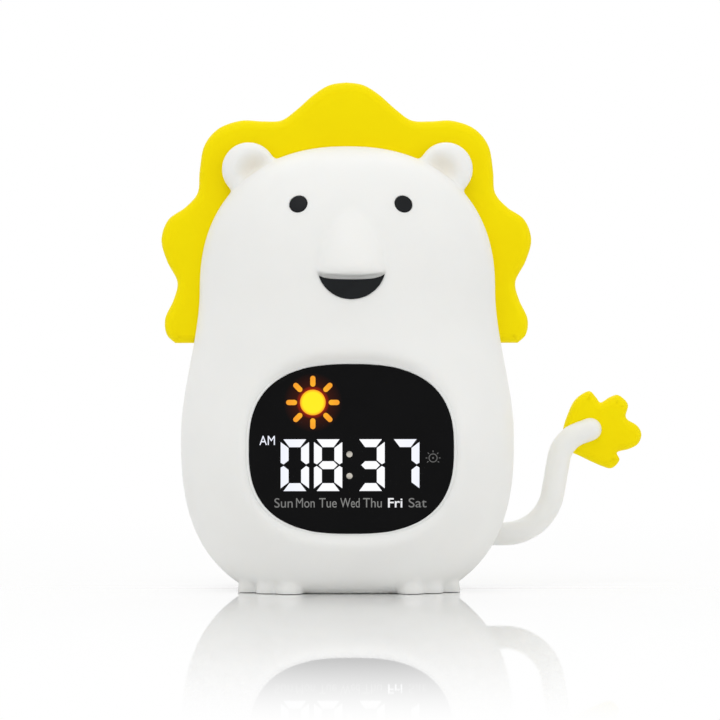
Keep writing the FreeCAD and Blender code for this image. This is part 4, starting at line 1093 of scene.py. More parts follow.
# %% [markdown]
# Behind the lens, lit shapes show through the dark sheet: the time, a sun, small words and an alarm
# sign. They could be an image on the lens, but a picture blurs when the camera comes near and has no
# mesh of its own. Thin flat prisms, a hair proud of the glass, stay crisp at any distance. The sun
# comes first: a disc and eight short capsules.

# %% Display figures
FIGURE_LIFT = 0.02
FIGURE_THICK = 0.12
CRISP_ANGLE = 30
CAP_STEPS = 8


def flat_shapes(name, outlines, middle, near, far):
    """One piece of many thin flat shapes, each a closed prism between two depths, in millimetres."""
    vertices = []
    faces = []
    for outline in outlines:
        first = len(vertices)
        count = len(outline)
        for y in (near, far):
            for u, v in outline:
                vertices.append(Vector((middle[0] + u, y, middle[1] + v)) * MM)
        faces += ring_faces(2, count, first)
        faces.append(tuple(reversed(range(first, first + count))))
        faces.append(tuple(range(first + count, first + 2 * count)))
    piece = new_piece(name, vertices, faces)
    work = bmesh.new()
    work.from_mesh(piece.data)
    bmesh.ops.recalc_face_normals(work, faces=work.faces)
    work.to_mesh(piece.data)
    work.free()
    smooth_by_angle(piece, CRISP_ANGLE)
    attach(piece, "root")
    return piece


def lens_shapes(name, outlines):
    """Flat shapes about the lens's middle, a hair proud of its face."""
    near = LENS_FACE - FIGURE_LIFT
    piece = flat_shapes(name, outlines, (LENS_CENTRE.x, LENS_CENTRE.z), near, near + FIGURE_THICK)
    return piece


def circle_outline(u, v, radius, count=48):
    """A round outline about a place."""
    turns = [2 * math.pi * index / count for index in range(count)]
    return [(u + radius * math.cos(turn), v + radius * math.sin(turn)) for turn in turns]


def ray_outline(centre, turn, start, end, half):
    """A capsule that points away from a centre."""
    points = []
    for middle, first in ((end - half, -math.pi / 2), (start + half, math.pi / 2)):
        for step in range(CAP_STEPS + 1):
            angle = first + math.pi * step / CAP_STEPS
            along = middle + half * math.cos(angle)
            across = half * math.sin(angle)
            points.append((
                centre[0] + along * math.cos(turn) - across * math.sin(turn),
                centre[1] + along * math.sin(turn) + across * math.cos(turn),
            ))
    return points


SUN_CENTRE = (-12.0, 14.5)
SUN_RADIUS = 4.0
SUN_RAY = (4.9, 8.3, 0.82)
sun = lens_shapes("sun_disc", [circle_outline(*SUN_CENTRE, SUN_RADIUS, 96)])
rays = [ray_outline(SUN_CENTRE, math.pi / 4 * index, *SUN_RAY) for index in range(8)]
sun_rays = lens_shapes("sun_rays", rays)
print("the sun has", len(rays), "rays")

# %% [markdown]
# The time is shown with seven-segment figures, each stroke with mitred ends and a small gap to the
# next. A digital typeface would need a font file. One stroke of each kind is drawn and mirrored for the
# rest, and a short list says which strokes light up for each figure.

# %% The time in segments
DIGIT_WIDE = 8.8
DIGIT_TALL = 16.1
STROKE = 2.45
CELL_GAP = 0.5
MITRE = 0.6
POST_NOTCH = (0.9, 0.5)
DIGIT_PLACES = (-17.6, -7.25, 5.95, 16.75)
DIGIT_LEVEL = -5.0
SEGMENTS = {"0": "abcdef", "8": "abcdefg", "3": "abcdg", "7": "abc"}


def segment_shapes():
    """The seven mitred strokes of a figure, by letter, about the figure's middle."""
    wide, tall, gap = DIGIT_WIDE / 2, DIGIT_TALL / 2, CELL_GAP / 2
    outer = wide - MITRE - gap
    inner = wide - STROKE - gap
    bar = [(-outer, tall), (outer, tall), (inner, tall - STROKE), (-inner, tall - STROKE)]
    post = [
        (wide, tall - MITRE - gap), (wide, gap + POST_NOTCH[1]), (wide - POST_NOTCH[0], gap),
        (wide - STROKE, STROKE / 2 + gap), (wide - STROKE, tall - STROKE - gap),
    ]
    tip = wide - STROKE / 2 - gap
    middle = [
        (-tip, 0), (-inner, STROKE / 2), (inner, STROKE / 2),
        (tip, 0), (inner, -STROKE / 2), (-inner, -STROKE / 2),
    ]
    return {
        "a": bar,
        "b": post,
        "c": [(u, -v) for u, v in post],
        "d": [(u, -v) for u, v in bar],
        "e": [(-u, -v) for u, v in post],
        "f": [(-u, v) for u, v in post],
        "g": middle,
    }


def digit_outlines(text):
    """The strokes of the shown time."""
    strokes = segment_shapes()
    found = []
    for place, figure in zip(DIGIT_PLACES, text):
        for letter in SEGMENTS[figure]:
            found.append([(u + place, v + DIGIT_LEVEL) for u, v in strokes[letter]])
    return found


COLON_X = -0.62
COLON_RADIUS = 0.95
COLON_RISE = 3.4
figures = lens_shapes("lit_time", digit_outlines("0837"))
dots = [circle_outline(COLON_X, DIGIT_LEVEL + v, COLON_RADIUS) for v in (-COLON_RISE, COLON_RISE)]
colon = lens_shapes("colon_dots", dots)
print("strokes of the time:", len(digit_outlines("0837")))

# %% [markdown]
# The weekdays and AM are ordinary clock words in a plain face, one of them lit. Blender's own font is
# enough for these, turned into a thin mesh and fitted to its place by width and height. Converting it
# keeps the shapes fixed wherever the file is opened. The lit day is set bold by swelling its outline a
# little.

# %% Display words
FONT_SIZE = 10
WORD_TALL = 2.95
BOLD = 0.14


def make_word(name, text, wide, tall, swell, put):
    """A word fitted to a width and a cap height; put turns its (u, v, depth share) into a point."""
    curve = bpy.data.curves.new(name, "FONT")
    curve.body = text
    curve.size = FONT_SIZE
    curve.extrude = FIGURE_THICK / 2
    curve.offset = swell
    mesh = curve_mesh(name, curve)
    points = np.array([vertex.co for vertex in mesh.vertices])
    low, high = points.min(axis=0), points.max(axis=0)
    scale_u = wide / (high[0] - low[0])
    scale_v = tall / (high[1] - low[1])
    for vertex in mesh.vertices:
        u = (vertex.co.x - low[0]) * scale_u
        v = (vertex.co.y - low[1]) * scale_v
        vertex.co = Vector(put(u, v, vertex.co.z / FIGURE_THICK)) * MM
    weld_and_face_out(mesh, 0.001)
    piece = place_in_scene(name, mesh)
    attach(piece, "root")
    return piece


def display_word(name, text, left, base, wide, tall, swell=0.0):
    """A word on the lens, from its left edge and its base line."""
    def put(u, v, share):
        y = LENS_FACE - FIGURE_LIFT + FIGURE_THICK / 2 - share * FIGURE_THICK
        return (LENS_CENTRE.x + left + u, y, LENS_CENTRE.z + base + v)

    piece = make_word(name, text, wide, tall, swell, put)
    return piece


# Where each word starts from the lens's middle, and how wide it is, in millimetres.
DAY_PLACES = {
    "Sun": (-23.94, 5.67), "Mon": (-17.23, 5.80), "Tue": (-10.05, 5.48), "Wed": (-3.47, 6.02),
    "Thu": (3.62, 5.83), "Fri": (11.37, 4.50), "Sat": (17.80, 5.61),
}
DAY_BASE = -18.2
LIT_DAY = "Fri"
days = {}
for day, (left, wide) in DAY_PLACES.items():
    swell = BOLD if day == LIT_DAY else 0.0
    days[day] = display_word("day_" + day.lower(), day, left, DAY_BASE, wide, WORD_TALL, swell)

MORNING_LEFT = -28.6
MORNING_BASE = 1.3
MORNING_WIDE = 4.8
MORNING_TALL = 2.85
morning = display_word("am_mark", "AM", MORNING_LEFT, MORNING_BASE, MORNING_WIDE, MORNING_TALL)
print("words on the display:", len(days) + 1)

# %% [markdown]
# A faint sign at the right of the time shows that the alarm is off: a dot, a broken ring and short
# dashes. It is made from the capsule that draws the sun's rays and from quarter rings. At this size,
# more detail than that would only shimmer.

# %% Alarm sign
ICON_CENTRE = (25.4, -2.8)
ICON_DASHES = (0.25, 0.5, 0.75, 1.0, 0.0, -0.2, -0.8)
ICON_DASH = (1.75, 2.35, 0.14)
ICON_RING = (1.1, 1.4)
ICON_DOT = 0.3


def arc_band(centre, inner, outer, quarter):
    """A quarter of a thin ring."""
    turns = [math.pi / 2 * (quarter + step / CAP_STEPS) for step in range(CAP_STEPS + 1)]
    points = [(centre[0] + outer * math.cos(turn), centre[1] + outer * math.sin(turn)) for turn in turns]
    for turn in reversed(turns):
        points.append((centre[0] + inner * math.cos(turn), centre[1] + inner * math.sin(turn)))
    return points


icon_shapes = [ray_outline(ICON_CENTRE, math.pi * turn, *ICON_DASH) for turn in ICON_DASHES]
icon_shapes += [arc_band(ICON_CENTRE, *ICON_RING, quarter) for quarter in range(4)]
icon_shapes.append(circle_outline(*ICON_CENTRE, ICON_DOT, 16))
icon = lens_shapes("alarm_mark", icon_shapes)
print("shapes in the alarm sign:", len(icon_shapes))

# %% [markdown]
# Small signs are printed beside the buttons: a lamp, two arrows and a bell. They could be a texture,
# which would need an image file, or be cut into the panel, which pad printing isn't. Inlays a few
# hundredths of a millimetre proud give the crisp edge of ink and stay readable up close.

# %% Printed signs of the rear panel
PANEL_FACE = PANEL_HIGH.y / MM
MARK_LEVEL = 7.1
MARK_THICK = 0.06
BUTTON_PITCH = 9.4
BUTTON_ROW = ("light", "down", "set", "up", "alarm")


def panel_mark(name, x, z, outlines):
    """Flat printed shapes on the rear panel; x and z are from the panel's middle."""
    middle = (PANEL_CENTRE.x + x, PANEL_CENTRE.z + z)
    near = PANEL_FACE - MARK_THICK / 2
    piece = flat_shapes(name, outlines, middle, near, near + MARK_THICK)
    return piece


def triangle(half, tall, way):
    """A triangle that points up or down."""
    return [(-half, -way * tall / 2), (half, -way * tall / 2), (0.0, way * tall / 2)]


def bell():
    """A bell's outline."""
    right = [(0.25, 1.2), (0.75, 0.7), (0.85, -0.2), (1.2, -0.65), (0.3, -0.65), (0.25, -1.0)]
    return right + [(-u, v) for u, v in reversed(right)]


ARROW = (0.85, 1.3)
LAMP_DOT = 0.6
LAMP_RAY = (0.95, 1.35, 0.1)
lamp_rays = [ray_outline((0.0, 0.0), math.pi / 4 * index, *LAMP_RAY) for index in range(8)]
marks = {
    "light": [circle_outline(0.0, 0.0, LAMP_DOT, 24)] + lamp_rays,
    "down": [triangle(*ARROW, -1)],
    "up": [triangle(*ARROW, 1)],
    "alarm": [bell()],
}
for index, name in enumerate(BUTTON_ROW):
    if name in marks:
        panel_mark("mark_" + name, (index - 2) * BUTTON_PITCH, MARK_LEVEL, marks[name])
print("printed signs:", len(marks))

# %% [markdown]
# The set button, the power switch and the inlet have short words. They are made as the display's words
# are and then turned round, because this side is read from behind. The ink is a little swollen, as
# printed letters of this size are.

# %% Printed words of the rear panel
PRINT_SWELL = 0.06
SIDE_PART_X = 18.5
SIDE_WORD_LEVEL = -16.4
SWITCH_WORD_X = 2.3


def panel_word(name, text, x, z, wide, tall):
    """A short printed word on the rear panel, readable from behind."""
    def put(u, v, share):
        y = PANEL_FACE + share * MARK_THICK
        return (PANEL_CENTRE.x + x + wide / 2 - u, y, PANEL_CENTRE.z + z + v)

    piece = make_word(name, text, wide, tall, PRINT_SWELL, put)
    return piece


panel_word("mark_set", "SET", 0.0, MARK_LEVEL - 0.7, 3.4, 1.4)
panel_word("mark_off", "OFF", -SIDE_PART_X - SWITCH_WORD_X, SIDE_WORD_LEVEL, 2.9, 1.2)
panel_word("mark_on", "ON", -SIDE_PART_X + SWITCH_WORD_X, SIDE_WORD_LEVEL, 2.1, 1.2)
panel_word("mark_power", "DC 5V", SIDE_PART_X, SIDE_WORD_LEVEL, 5.0, 1.2)
print("rear words made")

# %% [markdown]
# The pieces of the solid model that stay in view have machine-sharp edges. A moulding never does, and
# its small edge rounds catch the light. The rounds could be modelled into the solids, which would make
# them heavy for little gain. A bevel modifier on each leaves the meshes as they are.

# %% Edge rounds on the rigid pieces
# Width of each round in millimetres.
EDGE_ROUNDS = {
    "rear_panel": 0.25, "base_cover": 0.25, "rubber_feet": 0.35, "power_switch_knob": 0.2,
    "usb_socket": 0.08, "battery_tray": 0.2, "lamp_leds": 0.12, "display_leds": 0.08,
    "board_chips": 0.1, "tact_switches": 0.12, "power_switch_case": 0.1, "battery_cell": 0.8,
    "speaker_frame": 0.15, "speaker_magnet": 0.3, "tail_clip": 0.2, "housing_front": 0.2,
    "housing_rear": 0.2, "main_board": 0.06, "lamp_board": 0.06, "display_board": 0.06,
}
BUTTON_ROUND = 0.45
SCREW_ROUND = 0.08
for key in BUTTON_ROW:
    EDGE_ROUNDS[key + "_button"] = BUTTON_ROUND
for place in ("base", "panel", "case", "board", "display", "lamp"):
    EDGE_ROUNDS[place + "_screws"] = SCREW_ROUND


def round_edges(node, width):
    """A fine bevel on a solid's sharp edges."""
    step = node.modifiers.new("edge_round", "BEVEL")
    step.width = width * MM
    step.segments = 3
    step.limit_method = "ANGLE"
    step.angle_limit = math.radians(40)
    step.use_clamp_overlap = True
    step.harden_normals = True


for name, width in EDGE_ROUNDS.items():
    round_edges(NODES[name], width)
print("edge rounds on", len(EDGE_ROUNDS), "solids")

# %% [markdown]
# The finishes are built from shader nodes, and the same small groups of nodes come back in many of
# them: a colour mix, a change of range, a distance from a place. They could be wired by hand in the
# shader editor. As short functions they keep each finish down to the few lines that are its own.

# %% Node helpers
def feed(tree, socket, value):
    """Give a socket a plain value, or a link when the value is another node's output."""
    if isinstance(value, bpy.types.NodeSocket):
        tree.links.new(value, socket)
    else:
        socket.default_value = value


def surface_place(tree):
    """The coordinate that every pattern here follows: the piece's own place, in metres."""
    return tree.nodes.new("ShaderNodeTexCoord").outputs["Object"]


def mix_colors(tree, factor, first, second):
    """A mix of two colours by a factor."""
    mix = tree.nodes.new("ShaderNodeMix")
    mix.data_type = "RGBA"
    feed(tree, mix.inputs["Factor"], factor)
    feed(tree, mix.inputs["A"], first)
    feed(tree, mix.inputs["B"], second)
    return mix.outputs["Result"]


def remap(tree, value, start, end, low=0.0, high=1.0, soft=False):
    """Stretch the range from start to end over low to high, evenly or with soft ends."""
    node = tree.nodes.new("ShaderNodeMapRange")
    if soft:
        node.interpolation_type = "SMOOTHSTEP"
    feed(tree, node.inputs["Value"], value)
    feed(tree, node.inputs["From Min"], start)
    feed(tree, node.inputs["From Max"], end)
    feed(tree, node.inputs["To Min"], low)
    feed(tree, node.inputs["To Max"], high)
    return node.outputs["Result"]


def distance_from(tree, centre, place=None):
    """How far the surface lies from a centre, which is given in millimetres."""
    away = tree.nodes.new("ShaderNodeVectorMath")
    away.operation = "DISTANCE"
    if place is None:
        place = surface_place(tree)
    tree.links.new(place, away.inputs[0])
    away.inputs[1].default_value = Vector(centre) * MM
    return away.outputs["Value"]


print("node helpers ready")

# %% [markdown]
# Every moulded surface carries the fine grain of its mould. A noise in each material would do, but then
# no two would be tuned alike. The effect is a node group instead: it mixes a fine and a coarse noise to
# one height, and each finish only says how large they are. It gives out a height and no shader, so the
# finish keeps its own.

# %% Shared effect: grain
FLOAT = "NodeSocketFloat"
COLOR = "NodeSocketColor"


def new_effect(name, inputs, outputs):
    """An empty shader group with named sockets; gives the group and its two end nodes."""
    group = bpy.data.node_groups.new(name, "ShaderNodeTree")
    for socket, kind, value in inputs:
        made = group.interface.new_socket(name=socket, in_out="INPUT", socket_type=kind)
        made.default_value = value
    for socket, kind in outputs:
        group.interface.new_socket(name=socket, in_out="OUTPUT", socket_type=kind)
    return group, group.nodes.new("NodeGroupInput"), group.nodes.new("NodeGroupOutput")


def make_grain():
    """Two sizes of noise, mixed to a height."""
    inputs = [("Fine", FLOAT, 2000.0), ("Coarse", FLOAT, 300.0), ("Share", FLOAT, 0.3)]
    group, given, out = new_effect("grain", inputs, [("Height", FLOAT)])
    place = surface_place(group)
    heights = []
    for size_name in ("Fine", "Coarse"):
        noise = group.nodes.new("ShaderNodeTexNoise")
        noise.inputs["Detail"].default_value = 3.0
        group.links.new(place, noise.inputs["Vector"])
        group.links.new(given.outputs[size_name], noise.inputs["Scale"])
        heights.append(noise.outputs["Fac"])
    mix = group.nodes.new("ShaderNodeMix")
    group.links.new(given.outputs["Share"], mix.inputs["Factor"])
    group.links.new(heights[0], mix.inputs["A"])
    group.links.new(heights[1], mix.inputs["B"])
    group.links.new(mix.outputs["Result"], out.inputs["Height"])
    return group


GRAIN = make_grain()
print("effect:", GRAIN.name)

# %% [markdown]
# No real surface has one even colour. A slow noise moves this one between two near tones and also gives
# out its mask, so that the roughness can drift with it. Painted dirt would be too much for a new clock.
# This group is used by every moulded and metal finish.

# %% Shared effect: mottle
MOTTLE_BAND = (0.35, 0.65)


def make_mottle():
    """A slow drift between two near tones of one colour."""
    inputs = [
        ("Light", COLOR, (0.8, 0.8, 0.8, 1)),
        ("Dark", COLOR, (0.7, 0.7, 0.7, 1)),
        ("Scale", FLOAT, 60.0),
    ]
    group, given, out = new_effect("mottle", inputs, [("Color", COLOR), ("Mask", FLOAT)])
    noise = group.nodes.new("ShaderNodeTexNoise")
    noise.inputs["Detail"].default_value = 4.0
    noise.inputs["Roughness"].default_value = 0.55
    group.links.new(surface_place(group), noise.inputs["Vector"])
    group.links.new(given.outputs["Scale"], noise.inputs["Scale"])
    mask = remap(group, noise.outputs["Fac"], *MOTTLE_BAND)
    color = mix_colors(group, mask, given.outputs["Light"], given.outputs["Dark"])
    group.links.new(color, out.inputs["Color"])
    group.links.new(mask, out.inputs["Mask"])
    return group


MOTTLE = make_mottle()
print("effect:", MOTTLE.name)

# %% [markdown]
# The edges of handled parts are rubbed a little lighter. They could be painted by hand, or found by
# baking. Pointiness tells how sharply a mesh turns at each point, so the group can find the edges by
# itself and lay a second tone over them.

# %% Shared effect: rim
def make_rim():
    """A colour laid over the edges of a form, found from how sharply the surface turns."""
    inputs = [
        ("Color", COLOR, (0.8, 0.8, 0.8, 1)),
        ("Edge", COLOR, (0.9, 0.9, 0.9, 1)),
        ("Start", FLOAT, 0.52),
        ("End", FLOAT, 0.62),
    ]
    group, given, out = new_effect("rim", inputs, [("Color", COLOR), ("Mask", FLOAT)])
    shape = group.nodes.new("ShaderNodeNewGeometry")
    mask = remap(group, shape.outputs["Pointiness"], given.outputs["Start"], given.outputs["End"])
    color = mix_colors(group, mask, given.outputs["Color"], given.outputs["Edge"])
    group.links.new(color, out.inputs["Color"])
    group.links.new(mask, out.inputs["Mask"])
    return group


RIM = make_rim()
print("effect:", RIM.name)

# %% [markdown]
# A finish here is one Principled shader with a few things fed into it. The colours are picked as they
# look on a screen and turned into the linear values that the shader wants. Typing linear values
# directly would be shorter, but nobody can judge them by eye.

# %% A finish and its parts
def tone(red, green, blue):
    """A colour given as it looks on a screen, from 0 to 255, as the shader wants it."""
    linear = []
    for value in (red, green, blue):
        share = value / 255
        linear.append(share / 12.92 if share <= 0.04045 else ((share + 0.055) / 1.055) ** 2.4)
    return (*linear, 1.0)


def new_finish(name):
    """A material with one Principled shader; gives the material and the shader."""
    material = bpy.data.materials.new(name)
    material.use_nodes = True
    nodes = material.node_tree.nodes
    nodes.clear()
    out = nodes.new("ShaderNodeOutputMaterial")
    shader = nodes.new("ShaderNodeBsdfPrincipled")
    material.node_tree.links.new(shader.outputs["BSDF"], out.inputs["Surface"])
    return material, shader


def add_effect(material, group, **settings):
    """Place a shared effect in a material with this finish's own values."""
    node = material.node_tree.nodes.new("ShaderNodeGroup")
    node.node_tree = group
    for socket, value in settings.items():
        node.inputs[socket].default_value = value
    return node


def add_bump(material, shader, height, depth):
    """Feed a height, in millimetres at full scale, to the shader's normal."""
    bump = material.node_tree.nodes.new("ShaderNodeBump")
    bump.inputs["Distance"].default_value = depth * MM
    bump.inputs["Strength"].default_value = 1.0
    material.node_tree.links.new(height, bump.inputs["Height"])
    material.node_tree.links.new(bump.outputs["Normal"], shader.inputs["Normal"])


def wear(piece, material):
    """Give a piece one finish over all its faces."""
    piece.data.materials.clear()
    piece.data.materials.append(material)


print("a screen grey of 128 is", round(tone(128, 128, 128)[0], 3), "to the shader")

# %% [markdown]
# Nearly every piece of the clock is moulded plastic, rubber or silicone, and one recipe fits them all:
# near tones, a drifting roughness, a fine grain as a bump and, where hands reach, lighter edges. Each
# could be wired anew. One function with sizes in millimetres keeps them alike and easy to compare.

# %% The moulded finish
SMOOTHER = 0.04
ROUGHER = 0.05
COARSE_SHARE = 0.15


def moulded(name, light, dark, rough, fine, depth, edge=None, patch=25.0):
    """A finish of one colour: near tones, a fine grain and, if asked, lighter edges. Sizes in mm."""
    material, shader = new_finish(name)
    tree = material.node_tree
    mottle = add_effect(material, MOTTLE, Light=light, Dark=dark, Scale=1 / (patch * MM))
    coarse = COARSE_SHARE / (fine * MM)
    grain = add_effect(material, GRAIN, Fine=1 / (fine * MM), Coarse=coarse, Share=0.3)
    color = mottle.outputs["Color"]
    if edge:
        rim = add_effect(material, RIM, Edge=edge)
        tree.links.new(color, rim.inputs["Color"])
        color = rim.outputs["Color"]
    tree.links.new(color, shader.inputs["Base Color"])
    gloss = remap(tree, mottle.outputs["Mask"], 0.0, 1.0, rough - SMOOTHER, rough + ROUGHER)
    tree.links.new(gloss, shader.inputs["Roughness"])
    add_bump(material, shader, grain.outputs["Height"], depth)
    return material, shader


def lay_over(material, shader, factor, color):
    """Lay a colour over what the shader's base colour already has."""
    below = shader.inputs["Base Color"].links[0].from_socket
    mixed = mix_colors(material.node_tree, factor, below, color)
    material.node_tree.links.new(mixed, shader.inputs["Base Color"])


print("moulded finish ready")

# %% [markdown]
# Silicone is soft to look at because light goes a little way into it. Plain white paint looks hard in
# its place. A small subsurface share gives the softness, a broad gloss the satin, and a very fine grain
# keeps it from looking like glazed china. The yellow one is denser, so it gets less of both.

# %% Silicone
def make_silicone(name, light, dark, depth_share, radius):
    """Soft satin silicone in one colour; radius in millimetres."""
    material, shader = moulded(name, light, dark, 0.5, 0.5, 0.012, patch=40.0)
    shader.inputs["Subsurface Weight"].default_value = depth_share
    shader.inputs["Subsurface Radius"].default_value = (1.0, 0.9, 0.8)
    shader.inputs["Subsurface Scale"].default_value = radius * MM
    shader.inputs["Specular IOR Level"].default_value = 0.35
    shader.inputs["Sheen Weight"].default_value = 0.06
    shader.inputs["Sheen Roughness"].default_value = 0.4
    return material, shader


WHITE_LIGHT = tone(245, 245, 242)
WHITE_DARK = tone(242, 242, 239)
white_silicone, white_shader = make_silicone("white_silicone", WHITE_LIGHT, WHITE_DARK, 0.25, 2.5)
YELLOW_LIGHT = tone(253, 231, 0)
YELLOW_DARK = tone(250, 226, 0)
yellow_silicone, yellow_shader = make_silicone("yellow_silicone", YELLOW_LIGHT, YELLOW_DARK, 0.15, 1.5)
yellow_shader.inputs["Specular IOR Level"].default_value = 0.06
yellow_shader.inputs["Sheen Weight"].default_value = 0.0
for piece in (skin, tail, lip):
    wear(piece, white_silicone)
for piece in (mane, tuft):
    wear(piece, yellow_silicone)
print("silicone finishes made")

# %% [markdown]
# The hollow of each ear looks a touch warmer than the rest of the skin, where light bounces between its
# walls. That bounce light is painted into the colour here as a warm tone. A second material would leave
# a hard line round it. A soft mask from the distance to the hollow's middle fades the painted warm tone
# out, and folding the coordinate over serves both ears with one mask.

# %% Painted bounce light in the ear hollows
# The warm tone below is painted bounce light, laid into the silicone's colour.
EAR_PAINTED_BOUNCE_TONE = tone(240, 236, 226)
EAR_PAINTED_BOUNCE_SHARE = 0.9
EAR_PAINTED_BOUNCE_DEPTH = 3.0
EAR_PAINTED_BOUNCE_OUT = 7.0
EAR_PAINTED_BOUNCE_IN = 2.0


def paint_bounce_light_in_ears(material, shader):
    """Painted bounce light: a soft beige mask round each ear's hollow, laid over the white."""
    tree = material.node_tree
    fold = tree.nodes.new("ShaderNodeVectorMath")
    fold.operation = "ABSOLUTE"
    tree.links.new(surface_place(tree), fold.inputs[0])
    hollow = (EAR_CENTRE.x - EAR_LEAN.x, EAR_PAINTED_BOUNCE_DEPTH, EAR_CENTRE.z - EAR_LEAN.z)
    away = distance_from(tree, hollow, fold.outputs["Vector"])
    mask = remap(tree, away, EAR_PAINTED_BOUNCE_OUT * MM, EAR_PAINTED_BOUNCE_IN * MM, 0.0, EAR_PAINTED_BOUNCE_SHARE, soft=True)
    lay_over(material, shader, mask, EAR_PAINTED_BOUNCE_TONE)


paint_bounce_light_in_ears(white_silicone, white_shader)
print("ears warmed")

# %% [markdown]
# The eyes and the mouth are satin black inserts, and the lens is a smooth tinted sheet. A true
# see-through glass would need the whole lit stack behind it to be traced. A nearly black, very smooth
# surface with a weak reflection looks the same from outside and renders without noise.

# %% Dark inlays and lens
DARK_TONES = (tone(27, 29, 31), tone(23, 25, 27))
dark_inlay, shader = moulded("dark_inlay", *DARK_TONES, 0.42, 0.3, 0.006, patch=6.0)
shader.inputs["Specular IOR Level"].default_value = 0.12
for piece in bpy.context.scene.objects:
    if piece.name.startswith("inlay_"):
        wear(piece, dark_inlay)

GLASS_LIGHT = tone(13, 13, 14)
GLASS_DARK = tone(11, 11, 12)
lens_black, lens_shader = moulded("lens_black", GLASS_LIGHT, GLASS_DARK, 0.1, 1.2, 0.0006, patch=18.0)
lens_shader.inputs["IOR"].default_value = 1.3
lens_shader.inputs["Specular IOR Level"].default_value = 0.12
wear(lens, lens_black)
print("dark finishes made")

# %% [markdown]
# The lit sun throws a dark red halo into the sheet round it. A glare effect could be added to the
# finished picture, but it would be missing from the model itself. A colour ramp over the distance from
# the sun's middle puts the halo into the lens's own glow.

# %% Glow round the sun
SUN_PLACE = (LENS_CENTRE.x + SUN_CENTRE[0], LENS_FACE, LENS_CENTRE.z + SUN_CENTRE[1])
HALO_REACH = 10.0
HALO_STOPS = ((0.40, tone(150, 30, 0)), (0.52, tone(52, 12, 0)), (0.92, tone(0, 0, 0)))


def glow_round_the_sun(material, shader):
    """A dark red halo that fades away from the sun's disc, seen through the sheet."""
    tree = material.node_tree
    reach = tree.nodes.new("ShaderNodeMath")
    reach.operation = "MULTIPLY"
    tree.links.new(distance_from(tree, SUN_PLACE), reach.inputs[0])
    reach.inputs[1].default_value = 1 / (HALO_REACH * MM)
    halo = tree.nodes.new("ShaderNodeValToRGB")
    stops = halo.color_ramp.elements
    stops.new(HALO_STOPS[1][0])
    for stop, (position, color) in zip(stops, HALO_STOPS):
        stop.position = position
        stop.color = color
    tree.links.new(reach.outputs["Value"], halo.inputs["Fac"])
    tree.links.new(halo.outputs["Color"], shader.inputs["Emission Color"])
    shader.inputs["Emission Strength"].default_value = 1.0


glow_round_the_sun(lens_black, lens_shader)
print("halo reaches", HALO_REACH * HALO_STOPS[2][0], "mm from the sun's middle")

# %% [markdown]
# Lit figures shine through the dark sheet with colours of their own. Lamps behind holes would light
# them unevenly and slowly. An emission with plain strength shows the colour as it is picked. The sun
# runs from yellow at its middle to orange at its edge, worked out from the distance to its centre, and
# the words that aren't lit are a dim grey.

# %% Lit figures
def lit(name, inner, outer, centre, start, end):
    """A glowing finish whose colour runs from inner to outer between two distances, in mm."""
    material, shader = new_finish(name)
    tree = material.node_tree
    share = remap(tree, distance_from(tree, centre), start * MM, end * MM, soft=True)
    tree.links.new(mix_colors(tree, share, inner, outer), shader.inputs["Emission Color"])
    shader.inputs["Base Color"].default_value = tone(20, 20, 20)
    shader.inputs["Emission Strength"].default_value = 1.0
    shader.inputs["Roughness"].default_value = 0.2
    shader.inputs["Specular IOR Level"].default_value = 0.2
    return material


TIME_PLACE = (LENS_CENTRE.x, LENS_FACE, LENS_CENTRE.z + DIGIT_LEVEL)
FADE_NEAR = 10.0
FADE_FAR = 26.0
lit_white = lit("lit_white", tone(252, 252, 255), tone(240, 243, 255), TIME_PLACE, FADE_NEAR, FADE_FAR)
lit_day = lit("lit_day", tone(240, 240, 240), tone(228, 230, 236), TIME_PLACE, FADE_NEAR, FADE_FAR)
lit_sun = lit("lit_sun", tone(255, 236, 0), tone(255, 150, 0), SUN_PLACE, 3.0, 4.2)
lit_rays = lit("lit_rays", tone(255, 176, 20), tone(248, 158, 24), SUN_PLACE, 5.0, 8.0)
dim_words = lit("dim_words", tone(128, 128, 126), tone(116, 116, 115), TIME_PLACE, FADE_NEAR, FADE_FAR)
dim_dots = lit("dim_dots", tone(196, 191, 180), tone(150, 146, 138), TIME_PLACE, 3.4, 4.4)
dim_icon = lit("dim_icon", tone(104, 104, 102), tone(92, 92, 91), TIME_PLACE, FADE_NEAR, FADE_FAR)

wear(figures, lit_white)
wear(morning, lit_white)
wear(colon, dim_dots)
wear(sun, lit_sun)
wear(sun_rays, lit_rays)
wear(icon, dim_icon)
for day, word in days.items():
    wear(word, lit_day if day == LIT_DAY else dim_words)
print("lit figures finished")

# %% [markdown]
# The rigid pieces behind and inside have spark-eroded plastics, dull rubber, foam and film. All of them
# could share one grey, but they are told apart by grain and gloss more than by tone. Each line gives
# one finish with the size of grain that the real thing has.

# %% Plastics, rubber and foam
finishes = {
    "white_silicone": white_silicone,
    "yellow_silicone": yellow_silicone,
    "dark_inlay": dark_inlay,
    "lens_black": lens_black,
}


def keep_finish(name, light, dark, edge, rough, fine, depth, patch=25.0):
    """A moulded finish from screen colours, kept for the solids; gives its shader."""
    worn = tone(*edge) if edge else None
    material, shader = moulded(name, tone(*light), tone(*dark), rough, fine, depth, worn, patch)
    finishes[name] = material
    return shader


